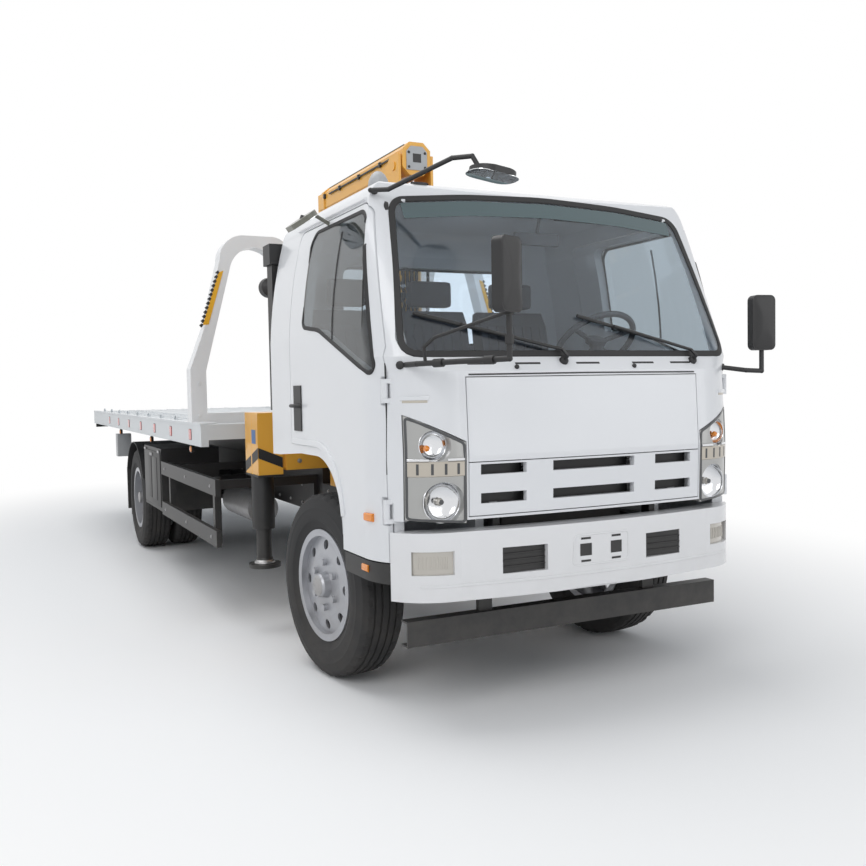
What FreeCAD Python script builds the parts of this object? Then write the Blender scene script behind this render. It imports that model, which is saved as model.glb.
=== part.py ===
"""Flatbed tow truck: forward-control cab, column crane, sliding and tilting bed.

Lengths are millimetres and angles are degrees. X points forward, Y to the truck's
left and Z up. The shapes are drawn with X measured from the front axle, and the
placement of each sub-part moves them so that the origin is on the ground, under
the middle of the whole truck.
"""
import FreeCAD, Part
import math
import os

import Sketcher
from FreeCAD import Placement, Rotation, Vector

DRIVING_SIZES = {
    "front_axle_x": 2739.8,
    "wheelbase": 4490,
    "seat_gap": 0.3,
    "running_gap": 0.05,
    "moving_gap": 6,
    # wheels and axles
    "tyre_radius": 447,
    "tyre_width": 240,
    "tyre_bead_radius": 248,
    "tyre_bead_width": 191,
    "flange_radius": 272,
    "flange_thick": 7,
    "rim_wall": 9,
    "disc_thick": 11,
    "hand_hole_radius": 24,
    "hand_hole_circle": 196,
    "hand_holes": 8,
    "spindle_radius": 40,
    "hub_radius": 82,
    "hub_cap_radius": 58,
    "nut_circle": 111,
    "nut_radius": 17,
    "nut_height": 22,
    "kingpin_y": 700,
    "kingpin_radius": 22,
    "front_wheel_y": 785,
    "steer_rest": 6.6,
    "axle_beam_tall": 90,
    "axle_beam_wide": 80,
    "twin_plane_y": 821,
    "twin_offset": 135,
    "rear_axle_radius": 62,
    # ladder frame
    "rail_top": 800,
    "rail_depth": 200,
    "rail_flange": 65,
    "rail_web": 8,
    "frame_half": 400,
    "rail_front": 900,
    "rail_rear": -6150,
    "crossmember_tall": 130,
    "crossmember_wide": 60,
    "subframe_tall": 100,
    "subframe_front": -1320,
    # cab
    "cab_half": 930,
    "cab_wall": 50,
    "glass_thick": 8,
    "cab_back": -600,
    "cab_front_low": 1022,
    "cab_front_mid": 1036,
    "cab_front_belt": 1018,
    "screen_base_x": 972,
    "screen_top_x": 560,
    "cab_bow": 24,
    "cab_corner": 300,
    "screen_corner": 200,
    "roof_corner": 160,
    "cab_low_z": 600,
    "cab_mid_z": 1120,
    "belt_z": 1462,
    "screen_base_z": 1525,
    "screen_over_z": 2450,
    "roof_z": 2311,
    "roof_edge_z": 2215,
    "roof_half": 848,
    "roof_corner_y": 720,
    "roof_back_x": -470,
    "roof_front_x": 520,
    "roof_lip_x": 668,
    "roof_radius": 150,
    "front_bottom_z": 862,
    "door_bottom_z": 690,
    "arch_front_x": 440,
    "arch_round": 330,
    "arch_top_z": 1085,
    "arch_back_z": 1040,
    "door_front_x": 860,
    "door_back_x": -270,
    "door_top_z": 2190,
    "door_gap": 5,
    "tunnel_half": 450,
    "tunnel_top": 1060,
    "tunnel_wall": 40,
    "foot_floor_z": 740,
    "firewall_x": 870,
    "cab_pivot_x": 975,
    "cab_pivot_z": 900,
    "lid_half": 600,
    "lid_top_z": 1440,
    "lid_bottom_z": 1096,
    "grille_bottom_z": 872,
    "grille_back_x": 1000,
    "lid_back_x": 955,
    "lamp_inner_y": 606,
    "lamp_bottom_z": 845,
    "lamp_top_z": 1180,
    "lamp_outer_y": 846,
    "lamp_outer_top_z": 1292,
    "lamp_depth": 120,
    "hinge_pin_radius": 7,
    "hinge_pin_y": 896,
    "hinge_barrel_radius": 13,
    "hinge_tall": 60,
    "hinge_low_z": 900,
    "hinge_high_z": 1388,
    # bumper
    "bumper_front": 1067,
    "bumper_flat": 640,
    "bumper_corner": 290,
    "bumper_end_x": 870,
    "bumper_bow": 55,
    "bumper_top": 816,
    "bumper_bottom": 536,
    "bumper_wall": 45,
    "underrun_half": 820,
    "underrun_front": 810,
    "underrun_deep": 60,
    "underrun_bottom": 331,
    "underrun_top": 439,
    # crane
    "crane_x": -950,
    "crane_base_top": 1290,
    "column_radius": 130,
    "column_top": 2560,
    "boom_pivot_x": -760,
    "boom_pivot_z": 2700,
    "boom_tail_x": -680,
    "boom_tip_x": -2060,
    "boom_width": 180,
    "boom_bottom": 2640,
    "boom_tall": 190,
    "boom_wall": 8,
    "boom_inner_gap": 4,
    "boom_inner_tip_x": -2150,
    "luff_foot_x": -1130,
    "luff_foot_z": 2420,
    "luff_eye_x": -2010,
    "luff_eye_z": 2566,
    "luff_barrel_radius": 42,
    "luff_rod_radius": 24,
    "outrigger_front": -860,
    "outrigger_back": -1120,
    "outrigger_bottom": 940,
    "outrigger_top": 1240,
    "outrigger_wall": 10,
    "housing_half": 780,
    "jack_inner_y": 800,
    "jack_outer_y": 945,
    "jack_bottom": 915,
    "jack_top": 1272,
    "leg_y": 885,
    "leg_radius": 62,
    "leg_sleeve_bottom": 600,
    "leg_rod_radius": 45,
    "foot_radius": 92,
    "foot_bottom": 372,
    "foot_thick": 22,
    # bed
    "bed_front": -1360,
    "bed_length": 5566,
    "bed_half": 1153,
    "deck_top": 1198,
    "deck_thick": 24,
    "skirt_tall": 134,
    "skirt_thick": 45,
    "bed_beam_tall": 70,
    "bed_beam_wide": 60,
    "bed_beams": 12,
    "slide_half_outer": 395,
    "slide_half_inner": 325,
    "slide_bottom": 1055,
    "tilt_front": -1760,
    "tilt_rear": -5960,
    "tilt_pivot_x": -5900,
    "tilt_pivot_z": 880,
    "tilt_pin_radius": 28,
    "tilt_foot_x": -3600,
    "tilt_foot_z": 690,
    "tilt_eye_x": -2500,
    "tilt_eye_z": 960,
    "tilt_cylinder_y": 230,
    "tilt_barrel_radius": 45,
    "tilt_rod_radius": 26,
    # headboard
    "headboard_front": -1620,
    "headboard_thick": 120,
    "headboard_inset": 3,
    "headboard_waist_z": 1540,
    "headboard_slant_in": 100,
    "headboard_slant_z": 1810,
    "headboard_top_in": 204,
    "headboard_shoulder_z": 2230,
    "headboard_top": 2392,
    "headboard_crown_in": 350,
    "headboard_gap_half": 300,
    "headboard_rail_z": 1360,
    "window_bottom": 1262,
    "window_low_in": 98,
    "window_high_in": 268,
    "window_high_z": 2180,
    "window_inner_high": 566,
    "window_inner_low": 410,
    "window_top_z": 2318,
    # side equipment
    "toolbox_front": -3110,
    "toolbox_back": -3880,
    "toolbox_inner_y": 640,
    "toolbox_outer_y": 1090,
    "toolbox_bottom": 470,
    "toolbox_top": 960,
    "guard_low_z": 510,
    "guard_high_z": 820,
    "guard_front": -1260,
    "guard_back": -3060,
    "guard_y": 1070,
    "underlift_pivot_x": -6090,
    "underlift_pivot_z": 560,
    "underlift_rear": -6860,
    "fork_socket_radius": 20,
    # cab fittings
    "mirror_post_x": 1400,
    "mirror_post_y": 632,
    "side_mirror_x": 1000,
    "side_mirror_y": 1002,
    "wheel_hub_x": 455,
    "wheel_hub_z": 1600,
    "wheel_y": 430,
}

document = FreeCAD.newDocument("TowTruck")
sheet = document.addObject("Spreadsheet::Sheet", "Sizes")
delivered = []


class Size:
    """A length that is known as a number and as the formula on the sheet that gives it."""

    def __init__(self, value, text):
        self.value = float(value)
        self.text = text

    def __add__(self, other):
        other = as_size(other)
        return Size(self.value + other.value, "(%s + %s)" % (self.text, other.text))

    def __radd__(self, other):
        return as_size(other) + self

    def __sub__(self, other):
        other = as_size(other)
        return Size(self.value - other.value, "(%s - %s)" % (self.text, other.text))

    def __rsub__(self, other):
        return as_size(other) - self

    def __mul__(self, other):
        other = as_size(other)
        return Size(self.value * other.value, "(%s * %s)" % (self.text, other.text))

    __rmul__ = __mul__

    def __truediv__(self, other):
        other = as_size(other)
        return Size(self.value / other.value, "(%s / %s)" % (self.text, other.text))

    def __neg__(self):
        return Size(-self.value, "(-1 * %s)" % self.text)


def as_size(number):
    """Return number as a Size."""
    if isinstance(number, Size):
        return number
    return Size(number, "(%.6f)" % number)


class Sheet:
    """The named values of the sheet, as attributes."""

    def __init__(self, values):
        for row, (alias, value) in enumerate(values.items(), start=1):
            sheet.set("A%d" % row, alias)
            sheet.set("B%d" % row, str(value))
            sheet.setAlias("B%d" % row, alias)
            setattr(self, alias, Size(value, "Sizes." + alias))


S = Sheet(DRIVING_SIZES)
document.recompute()


def bind(item, path, amount):
    """Tie a property of an object to a formula of the sheet."""
    item.setExpression(path, as_size(amount).text)


def ordered(span):
    """Return a pair of sizes with the smaller one first."""
    low, high = as_size(span[0]), as_size(span[1])
    if low.value > high.value:
        return high, low
    return low, high


def block(x, y, z):
    """A box between two positions on each axis."""
    item = document.addObject("Part::Box", "Block")
    for axis, length, span in (("x", "Length", x), ("y", "Width", y), ("z", "Height", z)):
        low, high = ordered(span)
        bind(item, length, high - low)
        bind(item, "Placement.Base." + axis, low)
    return item


AXIS_TURNS = {
    "x": Rotation(Vector(0, 1, 0), 90),
    "y": Rotation(Vector(1, 0, 0), -90),
    "z": Rotation(),
}
CROSS_AXES = {"x": ("y", "z"), "y": ("x", "z"), "z": ("x", "y")}


def rod(axis, centre, span, radius):
    """A round bar along an axis, with its centre line at centre on the two other axes."""
    item = document.addObject("Part::Cylinder", "Rod")
    item.Placement = Placement(Vector(), AXIS_TURNS[axis])
    low, high = ordered(span)
    bind(item, "Radius", radius)
    bind(item, "Height", high - low)
    bind(item, "Placement.Base." + axis, low)
    for cross, amount in zip(CROSS_AXES[axis], centre):
        bind(item, "Placement.Base." + cross, amount)
    return item


def slanted_rod(start, end, radius, y, trim_start=0, trim_end=0):
    """A round bar in a plane of constant y, from start to end, each an (x, z) pair."""
    item = document.addObject("Part::Cylinder", "Rod")
    run_x = as_size(end[0]) - start[0]
    run_z = as_size(end[1]) - start[1]
    length = Size(math.hypot(run_x.value, run_z.value), "sqrt(%s ^ 2 + %s ^ 2)" % (run_x.text, run_z.text))
    lean = math.degrees(math.atan2(run_x.value, run_z.value))
    item.Placement = Placement(Vector(), Rotation(Vector(0, 1, 0), lean or 1))
    bind(item, "Radius", radius)
    bind(item, "Height", length - trim_start - trim_end)
    item.setExpression("Placement.Rotation.Angle", "atan2(%s; %s)" % (run_x.text, run_z.text))
    share_x = Size(run_x.value / length.value, "(%s / %s)" % (run_x.text, length.text))
    share_z = Size(run_z.value / length.value, "(%s / %s)" % (run_z.text, length.text))
    bind(item, "Placement.Base.x", as_size(start[0]) + share_x * trim_start)
    bind(item, "Placement.Base.y", y)
    bind(item, "Placement.Base.z", as_size(start[1]) + share_z * trim_start)
    return item


def arc_centre(start, end, radius):
    """Centre of the short arc from start to end, on the left for a positive radius."""
    run = (end[0] - start[0], end[1] - start[1])
    chord = math.hypot(run[0], run[1])
    rise = math.sqrt(radius * radius - chord * chord / 4)
    side = 1 if radius > 0 else -1
    middle = ((start[0] + end[0]) / 2, (start[1] + end[1]) / 2)
    return (middle[0] - side * rise * run[1] / chord, middle[1] + side * rise * run[0] / chord)


def bow_radius(half_chord, rise):
    """Radius of the arc that rises that far over a chord of twice half_chord."""
    return (as_size(half_chord) * half_chord + as_size(rise) * rise) / (as_size(rise) * 2)


def draw_outline(sketch, points):
    """Draw a closed outline; a third member of a point bows the run that ends there to that radius."""
    corners = [(as_size(point[0]), as_size(point[1])) for point in points]
    ends = []
    for index, point in enumerate(points):
        start = (corners[index - 1][0].value, corners[index - 1][1].value)
        end = (corners[index][0].value, corners[index][1].value)
        if len(point) == 2:
            line = Part.LineSegment(Vector(*start, 0), Vector(*end, 0))
            ends.append((sketch.addGeometry(line), 1, 2))
            continue
        radius = as_size(point[2])
        centre = arc_centre(start, end, radius.value)
        first, last = (start, end) if radius.value > 0 else (end, start)
        angles = [math.atan2(spot[1] - centre[1], spot[0] - centre[0]) for spot in (first, last)]
        if angles[1] < angles[0]:
            angles[1] += 2 * math.pi
        circle = Part.Circle(Vector(*centre, 0), Vector(0, 0, 1), abs(radius.value))
        number = sketch.addGeometry(Part.ArcOfCircle(circle, *angles))
        ends.append((number, 1, 2) if radius.value > 0 else (number, 2, 1))
    for index, (number, begin, finish) in enumerate(ends):
        following = ends[(index + 1) % len(ends)]
        sketch.addConstraint(Sketcher.Constraint("Coincident", number, finish, following[0], following[1]))
        for kind, amount in zip(("DistanceX", "DistanceY"), corners[index]):
            sized = sketch.addConstraint(Sketcher.Constraint(kind, number, finish, amount.value))
            bind(sketch, "Constraints[%d]" % sized, amount)
        if len(points[index]) == 3:
            radius = as_size(points[index][2])
            bow = radius if radius.value > 0 else -radius
            sized = sketch.addConstraint(Sketcher.Constraint("Radius", number, bow.value))
            bind(sketch, "Constraints[%d]" % sized, bow)


def bent_tube(points, radius):
    """A round tube that runs straight from point to point, with a slightly larger ball at each joint."""
    spots = [Vector(*[as_size(amount).value for amount in point]) for point in points]
    reach = as_size(radius).value
    pieces = []
    for start, end in zip(spots, spots[1:]):
        pieces.append(Part.makeCylinder(reach, (end - start).Length, start, end - start))
    for spot in spots[1:-1]:
        pieces.append(Part.makeSphere(reach * 1.06, spot))
    item = document.addObject("Part::Feature", "Tube")
    item.Shape = pieces[0].multiFuse(pieces[1:]) if len(pieces) > 1 else pieces[0]
    return item


def origin_plane(body, role):
    """The body's own origin plane or axis with that role."""
    return next(item for item in body.Origin.OriginFeatures if item.Role == role)


def new_sketch(body, plane, points, offset=0):
    """A closed sketch on one of the body's origin planes, moved off it by offset."""
    sketch = body.newObject("Sketcher::SketchObject", "Outline")
    sketch.AttachmentSupport = (origin_plane(body, plane + "_Plane"), "")
    sketch.MapMode = "FlatFace"
    bind(sketch, "AttachmentOffset.Base.z", offset)
    draw_outline(sketch, points)
    return sketch


def prism(plane, points, span):
    """A body padded from an outline; XZ outlines are drawn as (x, z), YZ as (y, z), XY as (x, y)."""
    body = document.addObject("PartDesign::Body", "Panel")
    low, high = ordered(span)
    sketch = new_sketch(body, plane, points, -high if plane == "XZ" else low)
    pad = body.newObject("PartDesign::Pad", "Pad")
    pad.Profile = sketch
    bind(pad, "Length", high - low)
    return body


def turned(points):
    """A body turned about the Y axis from an outline drawn as (y, radius)."""
    body = document.addObject("PartDesign::Body", "Turned")
    sketch = new_sketch(body, "YZ", points)
    revolution = body.newObject("PartDesign::Revolution", "Revolution")
    revolution.Profile = sketch
    revolution.ReferenceAxis = (sketch, ["H_Axis"])
    revolution.Angle = 360
    return body


def bored_pattern(body, centre, radius, count):
    """Round holes through the body along Y, repeated about the Y axis."""
    sketch = body.newObject("Sketcher::SketchObject", "Hole")
    sketch.AttachmentSupport = (origin_plane(body, "XZ_Plane"), "")
    sketch.MapMode = "FlatFace"
    circle = sketch.addGeometry(Part.Circle(Vector(0, centre.value, 0), Vector(0, 0, 1), radius.value))
    sketch.addConstraint(Sketcher.Constraint("PointOnObject", circle, 3, -2))
    for kind, spot, amount in (("DistanceY", (circle, 3), centre), ("Radius", (circle,), radius)):
        sized = sketch.addConstraint(Sketcher.Constraint(kind, *spot, amount.value))
        bind(sketch, "Constraints[%d]" % sized, amount)
    pocket = body.newObject("PartDesign::Pocket", "Holes")
    pocket.Profile = sketch
    pocket.Type = "ThroughAll"
    pocket.Midplane = True
    pattern = body.newObject("PartDesign::PolarPattern", "HoleRing")
    pattern.Originals = [pocket]
    pattern.Axis = (origin_plane(body, "Y_Axis"), [""])
    pattern.Angle = 360
    bind(pattern, "Occurrences", count)
    body.Tip = pattern
    return body


def fused(*items):
    """Several shapes joined into one solid."""
    if len(items) == 1:
        return items[0]
    item = document.addObject("Part::MultiFuse", "Joined")
    item.Shapes = list(items)
    item.Refine = True
    return item


def cut(base, *tools):
    """The base with the tools taken away."""
    item = document.addObject("Part::Cut", "Cut")
    item.Base = base
    item.Tool = fused(*tools)
    item.Refine = True
    return item


def common(first, second):
    """What the two shapes share."""
    item = document.addObject("Part::Common", "Shared")
    item.Base = first
    item.Tool = second
    item.Refine = True
    return item


def grouped(*items):
    """Separate solids in one sub-part."""
    item = document.addObject("Part::Compound", "Group")
    item.Links = list(items)
    return item


def deliver(label, item, at=(0, 0, 0), turn=None):
    """Name a finished sub-part and place it; at is measured from the front axle."""
    if item.TypeId in ("Part::Box", "Part::Cylinder"):
        item = grouped(item)
    item.Label = label
    if turn is not None:
        item.Placement = Placement(Vector(), Rotation(Vector(0, 0, 1), 1))
        bind(item, "Placement.Rotation.Angle", turn)
    bind(item, "Placement.Base.x", S.front_axle_x + at[0])
    bind(item, "Placement.Base.y", at[1])
    bind(item, "Placement.Base.z", at[2])
    delivered.append(item)
    return item


SIDES = (("left", 1), ("right", -1))


# wheels and axles

def tyre_ring(centre):
    """One tyre, turned about the Y axis, its middle plane at centre."""
    half = S.tyre_width / 2
    bead = S.tyre_bead_width / 2
    top = S.tyre_radius
    return turned([
        (centre - bead, S.tyre_bead_radius),
        (centre + bead, S.tyre_bead_radius),
        (centre + bead, S.flange_radius + 2),
        (centre + half, top - 105, 150),
        (centre + half - 12, top - 26, 260),
        (centre + half - 34, top - 4, 26),
        (centre - half + 34, top - 4, bow_radius(half - 34, as_size(4))),
        (centre - half + 12, top - 26, 26),
        (centre - half, top - 105, 260),
        (centre - bead, S.flange_radius + 2, 150),
        (centre - bead, S.tyre_bead_radius),
    ][1:])


def rim_section(centre, disc_y, disc_way, hub_from, hub_to, cap_to):
    """One pressed rim with its disc; disc_way is 1 where the disc bulges outward."""
    bead = S.tyre_bead_width / 2
    flange = bead + S.flange_thick
    seat = S.tyre_bead_radius - S.seat_gap
    inner = seat - S.rim_wall
    foot = disc_y - disc_way * 18
    return turned([
        (centre - flange, S.flange_radius),
        (centre - flange, inner),
        (foot - S.disc_thick / 2, inner) if disc_way > 0 else (centre - flange + 20, inner),
        (disc_y - S.disc_thick, 156),
        (disc_y - S.disc_thick, S.hub_radius),
        (hub_from, S.hub_radius),
        (hub_from, S.spindle_radius + S.running_gap),
        (hub_to, S.spindle_radius + S.running_gap),
        (hub_to, 0),
        (cap_to, 0),
        (cap_to, S.hub_cap_radius - 8),
        (cap_to - 10, S.hub_cap_radius),
        (disc_y, S.hub_cap_radius + 6),
        (disc_y, 152),
        (foot + S.disc_thick / 2, inner),
        (centre + flange, inner),
        (centre + flange, S.flange_radius),
        (centre + bead, S.flange_radius),
        (centre + bead, seat),
        (centre - bead, seat),
        (centre - bead, S.flange_radius),
    ][::-1])


def nut_ring(base_y, outward):
    """Six wheel nuts on the disc, as round studs, about the Y axis."""
    nuts = []
    for number in range(6):
        angle = math.radians(60 * number + 30)
        centre = (S.nut_circle * math.cos(angle), S.nut_circle * math.sin(angle))
        nuts.append(rod("y", centre, (base_y, base_y + outward * S.nut_height), S.nut_radius))
    return nuts


def sided(item, side):
    """Turn a left-hand wheel part round the Z axis for the right-hand side."""
    if side > 0:
        return item
    turned_item = document.addObject("Part::Compound", "Sided")
    turned_item.Links = [item]
    turned_item.Placement = Placement(Vector(), Rotation(Vector(0, 0, 1), 180))
    return grouped(turned_item)


def make_front_wheels():
    """Front tyres and rims, in the frame of their kingpins."""
    offset = S.front_wheel_y - S.kingpin_y
    for name, side in SIDES:
        at = (0, side * S.kingpin_y, S.tyre_radius)
        deliver("tyre_front_" + name, sided(tyre_ring(offset), side), at, S.steer_rest)
        disc = offset + 84
        rim = rim_section(offset, disc, 1, offset - 15, offset + 92, offset + 128)
        rim = bored_pattern(rim, S.hand_hole_circle, S.hand_hole_radius, S.hand_holes)
        rim = fused(rim, *nut_ring(disc - 2, 1))
        deliver("rim_front_" + name, sided(rim, side), at, S.steer_rest)


def make_rear_wheels():
    """Twin rear tyres and rims, turning about the rear axle."""
    for name, side in SIDES:
        at = (-S.wheelbase, side * S.twin_plane_y, S.tyre_radius)
        tyres = grouped(tyre_ring(S.twin_offset), tyre_ring(-S.twin_offset))
        deliver("tyres_rear_" + name, sided(tyres, side), at)
        deliver("rims_rear_" + name, sided(twin_rim(), side), at)


def twin_rim():
    """Two dished rims bolted back to back on one hub."""
    bead = S.tyre_bead_width / 2
    flange = bead + S.flange_thick
    seat = S.tyre_bead_radius - S.seat_gap
    inner = seat - S.rim_wall
    bore = S.spindle_radius + S.running_gap
    half = [
        (0, inner - 40),
        (40, inner),
        (S.twin_offset + flange, inner),
        (S.twin_offset + flange, S.flange_radius),
        (S.twin_offset + bead, S.flange_radius),
        (S.twin_offset + bead, seat),
        (S.twin_offset - bead, seat),
        (S.twin_offset - bead, S.flange_radius),
        (S.twin_offset - flange, S.flange_radius),
        (S.twin_offset - flange, inner + 1),
    ]
    outer = turned([(0, 120)] + [(S.disc_thick, 120), (S.disc_thick, inner - 44)] + half[1:] + [half[0]])
    other = turned([(-y if index else y, r) for index, (y, r) in enumerate(
        [(0, 120)] + [(S.disc_thick, 120), (S.disc_thick, inner - 44)] + half[1:] + [half[0]])])
    hub = turned([
        (-150, bore),
        (60, bore),
        (60, 0),
        (118, 0),
        (118, S.hub_cap_radius),
        (S.disc_thick + 12, S.hub_radius),
        (S.disc_thick + 12, 130),
        (-S.disc_thick - 12, 130),
        (-S.disc_thick - 12, S.hub_radius),
        (-150, S.hub_radius),
    ][::-1])
    return fused(outer, other, hub, *nut_ring(S.disc_thick + 10, 1))


def make_front_axle():
    """Dropped beam between the kingpins, with the leaf springs' seats."""
    low = S.tyre_radius - S.axle_beam_tall
    half = S.axle_beam_wide / 2
    eye = S.kingpin_radius + 24
    beam = prism("YZ", [
        (-S.kingpin_y, S.tyre_radius - 50),
        (-S.kingpin_y + 92, S.tyre_radius - 50),
        (-S.kingpin_y + 180, low - 40),
        (S.kingpin_y - 180, low - 40),
        (S.kingpin_y - 92, S.tyre_radius - 50),
        (S.kingpin_y, S.tyre_radius - 50),
        (S.kingpin_y, S.tyre_radius + 40),
        (S.kingpin_y - 130, low + 44),
        (-S.kingpin_y + 130, low + 44),
        (-S.kingpin_y, S.tyre_radius + 40),
    ], (-half, half))
    eyes = [rod("z", (0, side * S.kingpin_y), (S.tyre_radius - 50, S.tyre_radius + 50), eye)
            for name, side in SIDES]
    bores = [rod("z", (0, side * S.kingpin_y), (S.tyre_radius - 60, S.tyre_radius + 60),
                 S.kingpin_radius + S.running_gap) for name, side in SIDES]
    deliver("front_axle", cut(fused(beam, *eyes), *bores))


def make_knuckles():
    """Steering knuckles: kingpin, yoke round the axle's eye and the wheel's spindle."""
    offset = S.front_wheel_y - S.kingpin_y
    for name, side in SIDES:
        pin = rod("z", (0, 0), (-78, 78), S.kingpin_radius)
        yoke = [block((-46, 46), (-46, 58), (50 + S.seat_gap, 78)),
                block((-46, 46), (-46, 58), (-78, -50 - S.seat_gap))]
        web = block((-46, 46), (S.kingpin_radius + 26, S.kingpin_radius + 38), (-78, 78))
        spindle = rod("y", (0, 0), (offset - 30, offset + 92 - S.seat_gap), S.spindle_radius)
        arm = block((-190, -30), (-46, -22), (-78, -58))
        back = rod("y", (0, 0), (S.kingpin_radius + 36, offset - 15 - S.seat_gap), 118)
        knuckle = fused(pin, *yoke, web, spindle, arm, back)
        deliver("knuckle_" + name, sided(knuckle, side), (0, side * S.kingpin_y, S.tyre_radius), S.steer_rest)


def make_rear_axle():
    """Banjo rear axle with a spindle in each twin wheel."""
    z = S.tyre_radius
    tube = rod("y", (-S.wheelbase, z), (-500, 500), S.rear_axle_radius)
    ends = [rod("y", (-S.wheelbase, z), (side * 490, side * (S.twin_plane_y + 60 - S.seat_gap)),
                S.spindle_radius) for name, side in SIDES]
    plates = [rod("y", (-S.wheelbase, z), (side * 480, side * (S.twin_plane_y - 150 - S.seat_gap)), 150)
              for name, side in SIDES]
    bowl = rod("x", (0, z), (-S.wheelbase - 150, -S.wheelbase + 190), 165)
    deliver("rear_axle", fused(tube, *ends, *plates, bowl))


def spring(x, reach, hang_z, seat_z, thick, y):
    """One leaf spring pack, curved, with a hanger block at each end."""
    low_rise = hang_z - 24 - seat_z
    high_rise = hang_z - 4 - seat_z - thick
    pack = prism("XZ", [
        (x - reach, hang_z - 4),
        (x - reach, hang_z - 24),
        (x + reach, hang_z - 24, bow_radius(reach, low_rise)),
        (x + reach, hang_z - 4),
        (x - reach, hang_z - 4, -bow_radius(reach, high_rise)),
    ][1:], y)
    hangers = [block((x + way * (reach - 30), x + way * (reach + 25)), y, (hang_z - 44, hang_z))
               for way in (-1, 1)]
    return fused(pack, *hangers)


def make_springs():
    """Leaf springs under the rails, clamped on the axles."""
    low = S.rail_top - S.rail_depth
    leaves = []
    for name, side in SIDES:
        y = (side * 325, side * 392)
        top = S.tyre_radius - S.axle_beam_tall + 44
        leaves.append(spring(0, 560, low - S.seat_gap, top + S.seat_gap, 44, y))
        x = -S.wheelbase
        seat = S.tyre_radius + S.rear_axle_radius
        leaves.append(spring(x, 640, low - S.seat_gap, seat + S.seat_gap, 62, y))
    deliver("leaf_springs", grouped(*leaves))


# ladder frame and what it carries

def c_rail(side, x):
    """One C-section rail, open towards the middle."""
    top = S.rail_top
    low = top - S.rail_depth
    out = side * S.frame_half
    web = side * (S.frame_half - S.rail_web)
    lip = side * (S.frame_half - S.rail_flange)
    points = [(out, low), (out, top), (lip, top), (lip, top - S.rail_web), (web, top - S.rail_web),
              (web, low + S.rail_web), (lip, low + S.rail_web), (lip, low)]
    return prism("YZ", points, x)


def make_frame():
    """Ladder frame: two C rails, crossmembers and the spacer rails under the tilting bed."""
    rails = [c_rail(side, (S.rail_rear, S.rail_front)) for name, side in SIDES]
    half = S.frame_half - S.rail_web
    mid = S.rail_top - S.rail_depth / 2
    members = [block((x, x - S.crossmember_wide), (-half, half),
                     (mid - S.crossmember_tall / 2, mid + S.crossmember_tall / 2))
               for x in (S.rail_front - 10, as_size(-1250), as_size(-1900), S.tilt_foot_x - 55,
                         as_size(-5150), S.rail_rear + S.crossmember_wide + 10)]
    spacers = [block((S.rail_rear + 120, S.subframe_front), (side * 330, side * S.frame_half),
                     (S.rail_top - 1, S.rail_top + S.subframe_tall - S.seat_gap)) for name, side in SIDES]
    pivots = []
    for name, side in SIDES:
        ear = block((S.tilt_pivot_x - 60, S.tilt_pivot_x + 60), (side * 402, side * 432),
                    (S.rail_top - 150, S.tilt_pivot_z + 45))
        pin = rod("y", (S.tilt_pivot_x, S.tilt_pivot_z), (side * 300, side * 432), S.tilt_pin_radius)
        foot = block((S.tilt_pivot_x - 60, S.tilt_pivot_x + 60), (side * 398, side * 404),
                     (S.rail_top - 150, S.rail_top))
        pivots += [ear, pin, foot]
    pocket = [rod("y", (S.tilt_pivot_x, S.tilt_pivot_z), (side * 310, side * 402),
                  S.tilt_pin_radius + 62) for name, side in SIDES]
    spacers = [cut(spacer, hole) for spacer, hole in zip(spacers, pocket)]
    feet = []
    for name, side in SIDES:
        y = side * S.tilt_cylinder_y
        feet.append(rod("y", (S.tilt_foot_x, S.tilt_foot_z), (y - 75, y + 75), 22))
        for ear_y in (y - 78, y + 60):
            feet.append(block((S.tilt_foot_x - 75, S.tilt_foot_x + 30), (ear_y, ear_y + 18),
                              (S.tilt_foot_z - 40, S.tilt_foot_z + 40)))
    deliver("frame", fused(*rails, *members, *spacers, *pivots, *feet, *cab_carriers(), *lift_carrier()))


def cab_carriers():
    """Pins at the front that the cab tilts about, and the posts that its back rests on."""
    items = []
    x = S.cab_pivot_x
    z = S.cab_pivot_z
    for name, side in SIDES:
        y = (side * (S.frame_half - 2), side * (S.frame_half + 30))
        items.append(block((S.rail_front - 50, S.rail_front + 5), y, (S.rail_top - 28, z + 18)))
        items.append(block((S.rail_front - 50, x), y, (z - 18, z + 18)))
        items.append(rod("y", (x, z), y, 20))
        items.append(rod("y", (x, z), (side * S.frame_half, side * (S.tunnel_half + 34)), 16))
        items.append(block((S.cab_back + 40, S.cab_back + 100), (side * (S.frame_half - 2), side * (S.frame_half + 40)),
                           (S.rail_top - 100, S.tunnel_top - S.seat_gap)))
    return items


def lift_carrier():
    """Ears and pin under the last crossmember for the lift arm."""
    x = S.underlift_pivot_x
    z = S.underlift_pivot_z
    ears = [block((x - 60, x + 50), (side * 90, side * 120), (z - 40, z + 80)) for name, side in SIDES]
    plate = block((x - 60, x + 50), (-S.frame_half + S.rail_web, S.frame_half - S.rail_web), (z + 76, z + 100))
    return ears + [plate, rod("y", (x, z), (-120, 120), 24)]


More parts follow.
